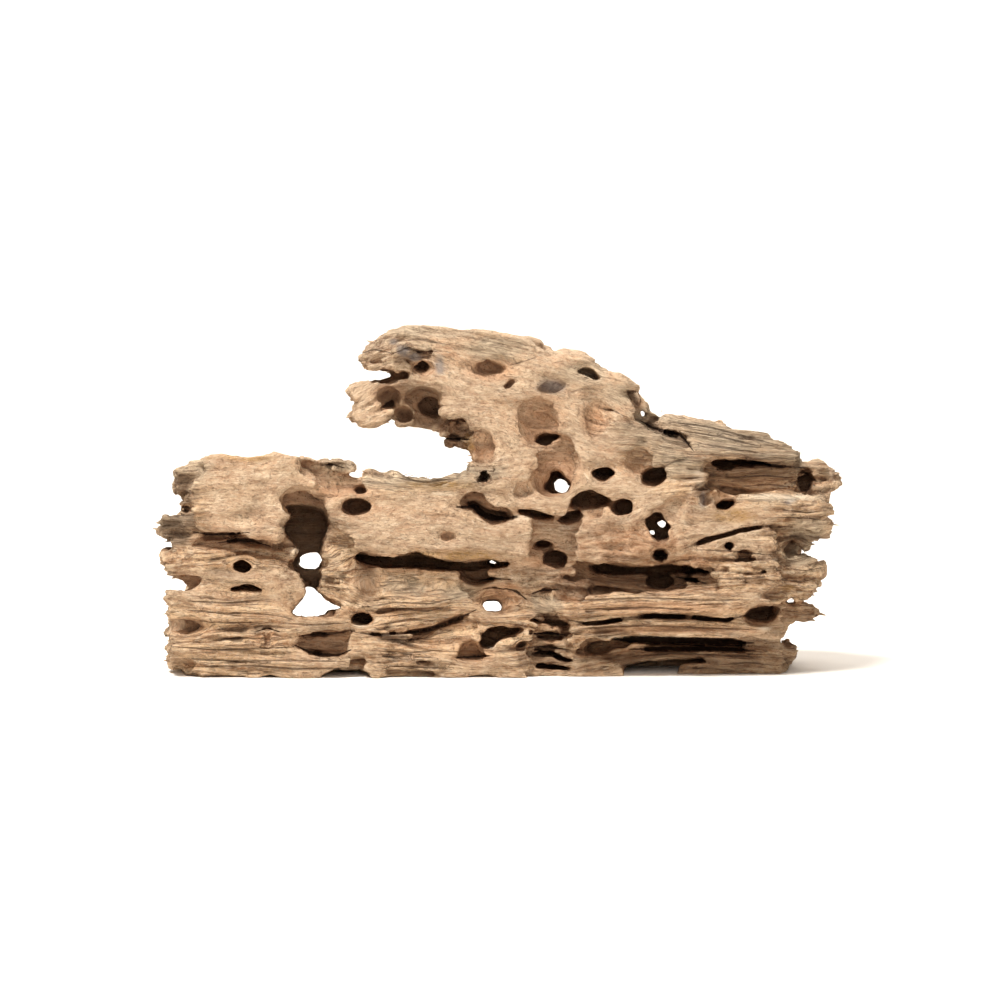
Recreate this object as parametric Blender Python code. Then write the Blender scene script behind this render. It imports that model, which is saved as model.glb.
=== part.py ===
"""Honeycomb wood: one weathered, hollowed block of driftwood with an overhanging arm.

The block is drawn from the front in millimetres: u runs right, w runs up and depth runs into the
wood. The drawing is the view from an eye level with the top of the block, so a shape that lies
deeper is drawn where it shows from there, and place() turns it into real coordinates.
Slabs make the ledges and plates, cutters make the holes, and both are fused by a voxel remesh.
"""
import math

import bmesh
import bpy
from mathutils import Matrix, Vector, noise

MM = 0.001
EYE_DISTANCE = 1925.0
EYE_HEIGHT = 238.0
EYE_U = 9.6
BELOW_FLOOR = -9.0
IN_FRONT = -22.0
BEHIND = 128.0
REAR_FACE = 96.0

VOXEL = 1.2 * MM
HOLLOW_VOXEL = 0.9 * MM
SMOOTH_PASSES = 2
TRIANGLES = 9400
REAR_WEAR = 9.0 * MM
REAR_WEAR_STARTS = 12.0 * MM
REAR_WEAR_FULL = 70.0 * MM
WEAR_SIZE = 30.0 * MM
LUMP_HEIGHT = 1.5 * MM
LUMP_SIZE = 17.0 * MM
RIDGE_HEIGHT = 1.0 * MM
REAR_RIDGE_HEIGHT = 4.6 * MM
RIDGE_LENGTH = 60.0 * MM
RIDGE_DEPTH = 11.0 * MM
RIDGE_PITCH = 7.5 * MM
LEDGE_STEP = 6.0
LEDGE_WOBBLE = 5.0
LEAST_FOOT_GAP = 0.8 * MM

NODE = "honeycomb_wood"
WOOD_COLOUR = (0.58, 0.42, 0.27, 1.0)
WOOD_ROUGHNESS = 0.82


def clear_scene():
    for old in list(bpy.data.objects):
        bpy.data.objects.remove(old, do_unlink=True)


def place(u, w, depth):
    """Real position, in metres, of a point of the drawing."""
    scale = (EYE_DISTANCE + depth) / EYE_DISTANCE
    x = EYE_U + (u - EYE_U) * scale
    z = EYE_HEIGHT + (w - EYE_HEIGHT) * scale
    return Vector((x, depth, z)) * MM


def put_in_place(verts):
    for vert in verts:
        vert.co = place(vert.co.x, vert.co.z, vert.co.y)


def slab(bm, outline, front, back, lean=(0.0, 0.0), crown=(2.0, 1.1)):
    """Closed plate with a drawn outline. The front leans by mm per mm along u and w,
    and the crown is how far in from the edge, and how high, the two faces swell."""
    mid_u = sum(u for u, w in outline) / len(outline)
    mid_w = sum(w for u, w in outline) / len(outline)
    reach, rise = crown

    def front_depth(u, w):
        return front + lean[0] * (u - mid_u) + lean[1] * (w - mid_w)

    front_ring = [bm.verts.new((u, front_depth(u, w) + rise, w)) for u, w in outline]
    back_ring = [bm.verts.new((u, back - rise, w)) for u, w in outline]
    front_face = bm.faces.new(front_ring)
    back_face = bm.faces.new(list(reversed(back_ring)))
    for i in range(len(outline)):
        j = (i + 1) % len(outline)
        bm.faces.new((front_ring[j], front_ring[i], back_ring[i], back_ring[j]))
    for face, shift in ((front_face, -rise), (back_face, rise)):
        bmesh.ops.inset_region(bm, faces=[face], thickness=reach, use_even_offset=False)
        for vert in face.verts:
            vert.co.y += shift
    put_in_place(linked_verts(front_ring[0]))


def linked_verts(start):
    found = {start}
    edge_of_search = [start]
    while edge_of_search:
        vert = edge_of_search.pop()
        for edge in vert.link_edges:
            other = edge.other_vert(vert)
            if other not in found:
                found.add(other)
                edge_of_search.append(other)
    return found


def well(bm, outline, far, near=IN_FRONT, drift=(0.0, 0.0), shrink=0.8):
    """Hollow with a drawn mouth: its floor is shrunk and drifts along u and w."""
    mid_u = sum(u for u, w in outline) / len(outline)
    mid_w = sum(w for u, w in outline) / len(outline)
    mouth = 0.0 if near < 0 else REAR_FACE
    rings = []
    for depth, share in ((near, 0.0), (mouth, 0.0), (mouth + 0.6 * (far - mouth), 0.5), (far, 1.0)):
        scale = 1.0 + (shrink - 1.0) * share ** 2
        rings.append([
            bm.verts.new(place(mid_u + (u - mid_u) * scale + drift[0] * share,
                               mid_w + (w - mid_w) * scale + drift[1] * share, depth))
            for u, w in outline])
    bm.faces.new(rings[0])
    bm.faces.new(list(reversed(rings[-1])))
    for nearer, deeper in zip(rings, rings[1:]):
        for i in range(len(outline)):
            j = (i + 1) % len(outline)
            bm.faces.new((nearer[j], nearer[i], deeper[i], deeper[j]))


def oval(centre, radii, turn=0.0, sides=18):
    """Points of an ellipse in the drawing, turned by an angle in degrees."""
    cos_turn = math.cos(math.radians(turn))
    sin_turn = math.sin(math.radians(turn))
    points = []
    for i in range(sides):
        angle = 2.0 * math.pi * i / sides
        along = radii[0] * math.cos(angle)
        across = radii[1] * math.sin(angle)
        points.append((centre[0] + along * cos_turn - across * sin_turn,
                       centre[1] + along * sin_turn + across * cos_turn))
    return points


def bore(bm, centre, radii, far, near=IN_FRONT, drift=(0.0, 0.0), turn=0.0, shrink=0.7):
    """Oval worm or branch hole."""
    well(bm, oval(centre, radii, turn), far, near, drift, shrink)


def scoop(bm, centre, radii, turn=0.0):
    """Ellipsoid hollow: centre and radii are along u, w and depth."""
    made = bmesh.ops.create_icosphere(bm, subdivisions=3, radius=1.0)
    stretch = Matrix.Diagonal((radii[0], radii[2], radii[1], 1.0))
    rotate = Matrix.Rotation(math.radians(-turn), 4, "Y")
    move = Matrix.Translation((centre[0], centre[2], centre[1]))
    bmesh.ops.transform(bm, matrix=move @ rotate @ stretch, verts=made["verts"])
    put_in_place(made["verts"])


def crack(bm, path, half, far, near=IN_FRONT, drift=(0.0, 0.0)):
    """Long slot that follows a path and runs out to a point at both ends."""
    upper = [path[0]]
    lower = []
    for before, here, after in zip(path, path[1:], path[2:]):
        along = Vector((after[0] - before[0], after[1] - before[1])).normalized()
        upper.append((here[0] - along.y * half, here[1] + along.x * half))
        lower.append((here[0] + along.y * half, here[1] - along.x * half))
    upper.append(path[-1])
    well(bm, upper + list(reversed(lower)), far, near, drift, 1.0)


def left_plates(bm):
    """Smooth upper plate, the broad ribbed face below it, and the broken fingers on the left."""
    slab(bm, [(-139, 101.5), (-143, 97), (-148, 91.5), (-150, 88), (-147, 84), (-148, 80), (-146, 74),
              (-143, 71.5), (-131, 70.5), (-122, 71.5), (-119, 69), (-114, 67), (-108, 65.5), (-104, 66.5),
              (-105, 75), (-100, 79), (-104, 82), (-104, 88.5), (-98, 91.5), (-90, 91.5), (-88, 95),
              (-94, 100.5), (-97, 104), (-94, 108), (-101, 108), (-109, 110), (-121, 108), (-134, 108),
              (-143, 105.5)],
         front=0.5, back=46, lean=(0.0, 0.04))
    slab(bm, [(-152, 58), (-149, 70), (-128, 74), (-106, 74), (-96, 66), (-99, 58)],
         front=16, back=40, lean=(0.0, 0.6))
    slab(bm, [(-146, 65.4), (-134, 67), (-122, 65.6), (-110, 62.6), (-112, 60.6), (-124, 62), (-140, 62.6)],
         front=11, back=30)
    slab(bm, [(-97, 107.5), (-92, 108), (-88, 105.5), (-79, 106.3), (-71, 104), (-69, 102.3), (-70, 100),
              (-74, 99), (-66, 97), (-61, 98), (-60, 91), (-66, 87), (-86, 87), (-94, 93), (-98, 100)],
         front=10.5, back=46, lean=(0.12, -0.2))
    slab(bm, [(-163, 61.6), (-152, 62.3), (-140, 62), (-124, 60.5), (-110, 60), (-103, 62), (-98, 64),
              (-97, 61), (-102, 56.5), (-105, 53), (-97.5, 50), (-95.5, 46), (-93, 42.3), (-96, 39),
              (-99.5, 36), (-101, 32.5), (-98, 30), (-84, 29.8), (-73, 33), (-62, 37), (-54, 30),
              (-54, 10), (-56, BELOW_FLOOR), (-147, BELOW_FLOOR), (-150, 1), (-153, 4.3), (-158, 5),
              (-160.5, 8.5), (-158, 11.5), (-160, 14.5), (-157, 17.5), (-161.5, 21), (-157, 24.5),
              (-162, 30.5), (-159, 34), (-161.5, 41.5), (-150, 42), (-144, 45.5), (-143, 49.5),
              (-151, 50.8), (-158, 50.5), (-164, 54.5), (-163, 58)],
         front=3.4, back=62, lean=(-0.015, 0.03))
    slab(bm, [(-158.5, 95), (-157, 98.5), (-154, 101.8), (-149, 103), (-149, 105), (-138, 106), (-136, 96),
              (-146, 87), (-152, 87), (-156, 89.5)],
         front=13, back=56)
    slab(bm, [(-155, 84), (-152, 88), (-144, 89), (-143, 76), (-152, 79)], front=7.5, back=44)
    slab(bm, [(-162, 79.5), (-151, 78.3), (-144, 79), (-141, 72), (-147, 66), (-155, 63.5), (-158, 66.5),
              (-164, 69), (-164.3, 74)],
         front=7.5, back=44)
    slab(bm, [(-158, 50.8), (-146, 52), (-138, 48), (-140, 43), (-149, 43.7), (-151, 45.5), (-157, 47.5)],
         front=15, back=50)


def middle_plates(bm):
    """The broad middle plate with its strip of grey wood on top, and the ribbed face under it."""
    slab(bm, [(-82.5, 80), (-82, 75.5), (-79.5, 72), (-74, 68.5), (-70.5, 63.5), (-69, 61.3), (-60, 60.8),
              (-52, 59.5), (-46, 60.3), (-40, 62.5), (-36, 60.3), (-30, 58), (-20, 56.6), (-8, 57.2),
              (8, 57.8), (14, 58.5), (15.5, 64), (17, 71), (15, 76), (15, 79), (8.5, 77.5), (6, 81),
              (8, 86), (6, 95), (-2, 99), (-12, 99), (-20, 97), (-28, 94), (-44, 91), (-62, 92),
              (-74, 89), (-83, 86)],
         front=0.5, back=50, lean=(0.0, 0.03), crown=(3.6, 2.6))
    slab(bm, [(-66, 97.2), (-62, 100), (-51, 100.3), (-45, 98), (-38, 96.8), (-28, 98.3), (-20, 100),
              (-8, 101.5), (0, 103), (0, 90), (-24, 86), (-60, 86), (-68, 90)],
         front=6.5, back=54, lean=(0.0, 0.35))
    slab(bm, [(-87, 42), (-86.5, 50), (-84, 57), (-86, 64), (-82.5, 73), (-74, 71), (-68.5, 62), (-68, 46),
              (-70, 38), (-76, 35.5)],
         front=6.0, back=46, crown=(3.6, 2.6))
    slab(bm, [(-75, 33), (-74, 37), (-71.5, 39), (-70, 56), (-58, 56.4), (-40, 55.6), (-20, 54), (-16, 44),
              (-10, 36), (0, 31), (16, 31), (20, 26), (15, 18), (14, 5), (13, BELOW_FLOOR),
              (-63, BELOW_FLOOR), (-66, 20), (-70, 30)],
         front=6.0, back=60, lean=(0.0, 0.05))
    slab(bm, [(-24, 57.5), (15, 58), (30, 55), (30, 47), (44, 46.5), (44, 40), (36, 35), (20, 30),
              (-16, 30), (-26, 42)],
         front=11, back=60)
    slab(bm, [(12, 56), (14, 80), (30, 82), (38, 74), (40, 58), (36, 50)], front=12.0, back=60)


def arm_plates(bm):
    """Upper right face that runs up into the forked arm, and the grey slope behind it."""
    slab(bm, [(-73, 139), (-71, 143), (-65, 144.2), (-53, 143), (-46, 145.5), (-46, 149), (-63, 149),
              (-66, 152), (-66, 156), (-62, 161), (-57, 165.8), (-52, 169.3), (-44, 171.2), (-37, 172),
              (-28, 171.6), (-14, 170.4), (-4, 168.8), (0, 166.4), (14, 163.8), (20, 160.2), (25, 156.4),
              (32, 157.8), (38, 156), (44, 153.2), (49, 149.4), (58, 147), (68, 142.4), (68.5, 139.5),
              (61, 139.5), (61, 136), (66, 131), (66, 126), (72, 121), (79, 117), (88, 112), (94, 104),
              (102, 99), (100, 94), (92, 92), (82, 88), (72, 80), (62, 77), (50, 75), (40, 76), (28, 79),
              (14, 77), (6, 84), (2, 97), (-4, 103), (-3, 112), (-5, 119), (-13, 121), (-14, 126),
              (-20, 127), (-27, 126), (-30.5, 131), (-28, 134.5), (-31, 139), (-38, 141), (-46, 137),
              (-51, 132), (-50.5, 128.5), (-55, 125.5), (-61, 122.5), (-67, 122.5), (-71, 126.5),
              (-71, 129.5), (-67.5, 132), (-70, 135)],
         front=8.0, back=66, lean=(0.0, 0.13), crown=(3.2, 3.4))
    slab(bm, [(-52, 133), (-50, 128), (-48, 123.5), (-42, 122), (-30, 122.3), (-27, 120.3), (-26, 114.8),
              (-20, 114), (-16, 112.5), (-12, 109), (-14, 104.5), (-8, 100), (6, 104), (4, 130), (-10, 142),
              (-40, 144)],
         front=24, back=62)
    slab(bm, [(-51, 131), (-50, 127), (-47, 123), (-41, 122.5), (-41, 130), (-44, 133)], front=15, back=40)
    slab(bm, oval((-46.4, 158.8), (3.6, 3)), front=6.4, back=20)
    slab(bm, [(-31, 119.2), (-27, 119.6), (-24, 122.8), (-18, 124.4), (-12, 123), (-13, 118.6),
              (-17.4, 117),
              (-22, 118.6), (-26, 117.4)],
         front=14, back=34)
    slab(bm, [(-28.4, 114.2), (-24, 115.8), (-19, 115), (-14, 117), (-11, 112), (-16, 111.4), (-21, 113.2)],
         front=18, back=36)
    slab(bm, [(-14.8, 116.6), (-13, 120.6), (-6, 121), (0, 114), (0, 101), (-9, 100.8), (-15.4, 103.6),
              (-12.6, 106.6), (-13, 109.6)],
         front=11, back=56)
    slab(bm, [(64, 122), (70, 128), (77, 128.3), (87, 127.2), (97, 127.2), (106, 125), (111, 122.5),
              (118, 120.6), (128, 118.5), (137, 115.2), (144, 112.5), (146.5, 108.5), (145, 105.5),
              (127, 105.6), (112, 106.3), (103, 107.5), (98, 104), (84, 106), (74, 112)],
         front=17, back=84, lean=(0.06, 1.15))
    slab(bm, [(62, 124), (60, 139), (66, 141), (70, 137), (72, 131.5), (71, 128.5), (78, 127.5), (80, 118)],
         front=24, back=70)


def right_plates(bm):
    """Lobes, lip and broken ends on the right."""
    slab(bm, [(98, 86), (100, 108), (128, 108), (150, 104.8), (157, 103), (162.5, 99.5), (164, 96.5),
              (164.5, 93.8), (160, 90), (158, 86), (130, 84)],
         front=23, back=62, lean=(0.08, 0.0))
    slab(bm, [(92, 90), (103, 91.5), (115, 89), (124, 89.3), (136, 91), (150, 88.8), (158, 88), (158.5, 85),
              (161, 81.8), (162.5, 79), (158, 77), (155, 74), (146, 74.6), (135, 75.2), (124, 74.6),
              (112, 72), (103, 69.4), (95, 66.8), (88, 62), (84, 65), (86, 74), (90, 82)],
         front=5.5, back=60, lean=(0.14, 0.05), crown=(4.4, 3.6))
    slab(bm, [(74, 80), (82, 89.6), (92, 93), (101, 92.4), (101, 80), (94, 67), (86, 65), (80, 70),
              (75, 76)],
         front=6.2, back=50)
    slab(bm, [(124, 45), (138, 47), (141, 43), (140, 39.8), (126, 39.6)], front=12, back=44)
    slab(bm, [(92, 43.4), (107.5, 42.8), (110, 48), (104, 53), (96, 53.8), (90, 50)], front=8.5, back=40)
    slab(bm, [(134, 76), (158, 76), (160.5, 74.5), (160, 70.3), (158, 68.7), (151, 68), (149, 66),
              (151.5, 64.5), (148, 62), (146, 58), (136, 57), (133, 66)],
         front=17, back=62, lean=(0.1, 0.0))
    slab(bm, [(132, 58), (149, 59.3), (156, 57), (156, 53.5), (154, 49), (151, 42.5), (148.5, 40),
              (144, 39.4), (134, 41.5)],
         front=14, back=58, lean=(0.2, 0.0))
    slab(bm, [(118, 34), (137, 37), (146.5, 37.3), (145.5, 36), (151, 35.7), (153.5, 32.3), (152, 30),
              (147, 28.7), (142, 29), (140, 24), (118, 24)],
         front=25, back=52)
    slab(bm, [(36, 70), (40, 74.5), (48, 76.5), (58, 76.5), (70, 79), (84, 76), (91, 66), (92, 60.5),
              (86, 56), (74, 55.6), (60, 56), (44, 56.4), (38, 56.2), (37, 62)],
         front=0.8, back=44, crown=(3.2, 2.4))
    slab(bm, [(90, 62), (96, 66.2), (104, 69), (113, 71.4), (124, 73), (133, 72.4), (134.5, 66),
              (137.3, 61.5), (137, 58.5), (135.8, 52), (135, 47), (130.5, 43.6), (126, 41.4), (116, 41.6),
              (107.5, 43), (107, 47.3), (103, 50.5), (97, 52.8), (86, 55), (84, 58)],
         front=2.4, back=48, lean=(0.05, 0.0), crown=(2.6, 1.6))
    slab(bm, [(34, 38), (44, 44), (60, 44), (80, 45), (98, 45.5), (107, 46), (110, 56), (84, 58), (42, 58)],
         front=17, back=60, lean=(0.0, 1.2))
    slab(bm, [(27, 36.4), (33, 35.6), (41, 39.6), (52, 41), (80, 42), (97, 43), (107, 43), (116, 41.2),
              (128, 40), (141, 38.6), (136, 36.4), (126, 33.6), (120, 31.7), (116.5, 30), (120, 27.3),
              (126, 25.8), (131, 25.3), (132, 23.6), (120, 20.8), (108, 19.5), (90, 19.3), (75, 20.3),
              (64, 20.7), (58, 18.7), (42, 17.6), (38, 14), (34, 18), (34.5, 26), (30, 31)],
         front=3.6, back=58, lean=(0.06, 0.02), crown=(2.6, 1.8))
    slab(bm, [(34, 36), (36, 4), (60, 9), (100, 13), (120, 24), (139, 27), (136.5, 16.4), (145, 15.3),
              (147, 14), (143, 10.3), (139, 5.5), (136, 0), (134, BELOW_FLOOR), (14, BELOW_FLOOR), (12, 30)],
         front=25, back=84)
    slab(bm, [(36, 12), (40, 11), (60, 10.5), (58, 6), (62, 4), (56, BELOW_FLOOR), (16, BELOW_FLOOR),
              (12, 28), (30, 26)],
         front=9.0, back=40)
    slab(bm, [(86, 2), (88, 6.6), (93, 7.6), (100, 7), (106, 5), (106, BELOW_FLOOR), (84, BELOW_FLOOR)],
         front=13, back=40)


def ledge(bm, u_range, w_range, back, seed):
    """Long strip along the grain on the rear, with worn edges and narrow broken ends."""
    length = u_range[1] - u_range[0]
    middle = (w_range[0] + w_range[1]) / 2
    half = (w_range[1] - w_range[0]) / 2
    count = round(length / LEDGE_STEP)
    upper = []
    lower = []
    for i in range(count + 1):
        share = i / count
        u = u_range[0] + length * share
        fill = half * min(1.0, 0.3 + 5.0 * share * (1.0 - share))
        wobble = [noise.noise(Vector((u / 13.0, side, seed))) * LEDGE_WOBBLE for side in (0.3, 4.7)]
        upper.append((u, middle + fill + wobble[0]))
        lower.append((u, middle - max(1.5, fill + wobble[1])))
    slab(bm, upper + list(reversed(lower)), front=60, back=back, crown=(1.6, 1.2))


def rear_plates(bm):
    """Body behind the front plates, and the ledges of the rear."""
    for u_range, w_range, back, seed in (
            ((-150, -92), (10, 27), 105, 1.5), ((-142, -64), (38, 49), 101, 2.5),
            ((-132, -84), (76, 92), 98, 3.5), ((-62, 34), (42, 53), 102, 4.5),
            ((-66, 20), (70, 86), 104, 5.5), ((-88, -6), (2, 17), 110, 6.5),
            ((42, 132), (16, 28), 106, 7.5), ((54, 142), (58, 71), 101, 8.5),
            ((34, 112), (84, 101), 100, 9.5), ((-52, 22), (134, 150), 84, 10.5),
            ((8, 74), (112, 124), 98, 11.5), ((96, 150), (82, 94), 99, 12.5),
            ((0, 48), (18, 30), 112, 13.5)):
        ledge(bm, u_range, w_range, back, seed)
    slab(bm, [(-149, BELOW_FLOOR), (-155, 10), (-152, 24), (-155, 36), (-148, 48), (-152, 60), (-155, 74),
              (-150, 97), (-138, 103), (-110, 106), (-92, 104), (-76, 97), (-60, 96), (-40, 92.5), (-20, 96),
              (-6, 103), (0, 118), (10, 130), (30, 146), (48, 144), (60, 138), (70, 121), (90, 120),
              (110, 116), (130, 110), (146, 103), (157, 92), (154, 80), (154, 69), (145, 62), (150, 52),
              (145, 42), (138, 34), (136, 20), (139, 8), (134, BELOW_FLOOR)],
         front=19, back=84)
    slab(bm, [(-148, BELOW_FLOOR), (-153, 14), (-148, 34), (-154, 50), (-148, 62), (-136, 66), (-120, 60),
              (-104, 64), (-90, 70), (-84, 58), (-90, 42), (-80, 28), (-76, BELOW_FLOOR)],
         front=50, back=98, crown=(5.0, 4.0))
    slab(bm, [(-152, 70), (-154, 84), (-148, 96), (-130, 102), (-108, 104), (-90, 100), (-78, 92),
              (-84, 78),
              (-102, 70), (-122, 66), (-140, 64)],
         front=40, back=90, crown=(5.0, 4.0))
    slab(bm, [(-86, BELOW_FLOOR), (-82, 26), (-66, 36), (-40, 31), (-20, 39), (0, 35), (20, 30), (36, 34),
              (46, 24), (46, BELOW_FLOOR)],
         front=50, back=105, crown=(5.0, 4.0))
    slab(bm, [(-70, 44), (-72, 70), (-64, 88), (-40, 91), (-16, 94), (2, 100), (20, 96), (26, 78), (12, 62),
              (-6, 52), (-30, 48), (-52, 43)],
         front=50, back=96, crown=(5.0, 4.0))
    slab(bm, [(38, BELOW_FLOOR), (44, 22), (60, 36), (84, 41), (108, 35), (130, 36), (137, 28), (134, 16),
              (136, BELOW_FLOOR)],
         front=50, back=101, crown=(5.0, 4.0))
    slab(bm, [(30, 56), (34, 80), (30, 104), (42, 124), (58, 131), (78, 118), (104, 114), (128, 107),
              (146, 98), (153, 84), (150, 70), (136, 60), (116, 52), (88, 57), (60, 50)],
         front=50, back=94, crown=(5.0, 4.0))
    slab(bm, [(-58, 130), (-60, 152), (-44, 163), (-16, 162), (10, 157), (30, 149), (46, 141), (38, 124),
              (20, 112), (2, 118), (-14, 128), (-36, 130)],
         front=40, back=76, crown=(5.0, 5.0))


def cut_left(bm):
    """Hollows of the left third."""
    well(bm, [(-103, 84.5), (-98, 85), (-90, 84), (-84, 81), (-82.5, 77), (-82.5, 73), (-86, 66),
              (-85.5, 58),
              (-86.5, 48), (-87.5, 43), (-92, 46), (-95.5, 46.5), (-97, 50), (-101, 54), (-99.5, 58),
              (-97, 62), (-100, 66), (-104, 70), (-104, 75), (-100, 79.5), (-103, 81)],
         far=48, shrink=0.95)
    scoop(bm, (-94, 86.5, 0), (11.5, 5.2, 13), turn=-6)
    well(bm, [(-98.5, 55), (-96.5, 56.5), (-97, 58.5), (-94.5, 60.7), (-91, 61.7), (-87, 61.5), (-86.3, 59),
              (-84.4, 57.3), (-86.5, 55), (-89, 52.8), (-94, 52.8)],
         far=BEHIND, shrink=1.0)
    well(bm, [(-94.8, 44.9), (-89.5, 44.9), (-87.3, 42), (-85.3, 41), (-84.5, 38.7), (-79, 36.3),
              (-73.4, 34.9), (-80.5, 33.0), (-84, 32), (-82.5, 30.6), (-92, 29.7), (-98, 30), (-101, 31.5),
              (-99.5, 34), (-97.8, 36.3), (-94.5, 39.6), (-93, 42.3)],
         far=BEHIND, shrink=1.0)
    well(bm, [(-96, 104), (-91, 106.3), (-88, 105), (-84, 101.5), (-78, 100), (-72, 98), (-66, 94.8),
              (-64, 92), (-65, 90.2), (-70, 89.8), (-77, 90.4), (-84, 91), (-88.5, 93.5), (-90, 97.5),
              (-94.5, 101)],
         far=16, drift=(2, 0), shrink=0.8)
    scoop(bm, (-92, 103.6, 9), (4.6, 2.4, 6), turn=-14)
    crack(bm, [(-85, 103.6), (-80, 103.8), (-76, 102.6)], half=0.8, far=22)
    well(bm, [(-75, 99), (-71, 100.4), (-67.6, 100.4), (-65, 98.4), (-66.4, 97), (-70, 97.6)],
         far=BEHIND, shrink=1.0)
    bore(bm, (-66.6, 91.2), (2.8, 1.2), far=22)
    bore(bm, (-69, 83), (7, 4), far=22, drift=(1, 0), shrink=0.6)
    crack(bm, [(-147, 71), (-140, 70), (-130, 70.2), (-122, 70.8), (-112, 67.6), (-106, 64.8)],
          half=1.0, far=30)
    scoop(bm, (-123, 77, -2.2), (6.4, 4, 4.4))
    bore(bm, (-124, 54.4), (4.6, 2.6), far=30)
    scoop(bm, (-123.5, 56.6, 1), (5.4, 3.2, 4.2))
    well(bm, [(-132, 41.8), (-126, 44.4), (-120, 45.2), (-117, 44.2), (-113.5, 41.6), (-119, 41.8),
              (-126, 41.6)],
         far=24, drift=(0, 3))
    well(bm, [(-163, 42.5), (-150, 42.4), (-144.5, 46), (-143, 49.6), (-151, 50.5), (-160, 50.2)],
         far=15, shrink=0.9)
    scoop(bm, (-152.5, 25.6, 3), (10.5, 4.6, 13))
    scoop(bm, (-158, 26, 30), (7, 5, 24))
    scoop(bm, (-156, 70.5, 6), (9, 3.4, 7))
    scoop(bm, (-151.5, 82.2, 4), (2.6, 2.6, 12))
    crack(bm, [(-116.4, 23.2), (-112, 24.4), (-107.6, 23)], half=1.0, far=24)
    well(bm, [(-113.6, 22.6), (-110.4, 22.6), (-110.6, 15), (-113, 14.4)], far=6.6)
    well(bm, [(-99, 18), (-97.5, 21), (-92, 22.4), (-84, 21.6), (-76, 22.6), (-71, 23.4), (-72.5, 18),
              (-74, 12.6), (-80, 10.3), (-85, 10.2), (-92, 12), (-98, 15)],
         far=12.5, drift=(0, -1), shrink=0.72)
    crack(bm, [(-98, 15.8), (-92, 13), (-85, 11.4), (-77, 11.4), (-73, 13.4)], half=1.2, far=34)
    crack(bm, [(-96, 20.6), (-88, 21.8), (-78, 22), (-70.4, 23.6)], half=0.9, far=28)
    scoop(bm, (-155, 6.5, 6), (8, 3.4, 10))
    well(bm, [(-87, BELOW_FLOOR), (-86, 2), (-80, 4.6), (-68, 4.8), (-63, 3), (-60, BELOW_FLOOR)],
         far=40, shrink=0.8)
    well(bm, [(-118, BELOW_FLOOR), (-116, 0.8), (-110, 2.2), (-105, 0.8), (-103, BELOW_FLOOR)], far=34)
    well(bm, [(-73.6, 9.8), (-64, 10.2), (-63.4, 5.4), (-68, 4.8), (-73, 5.2)], far=13, shrink=0.9)


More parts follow.
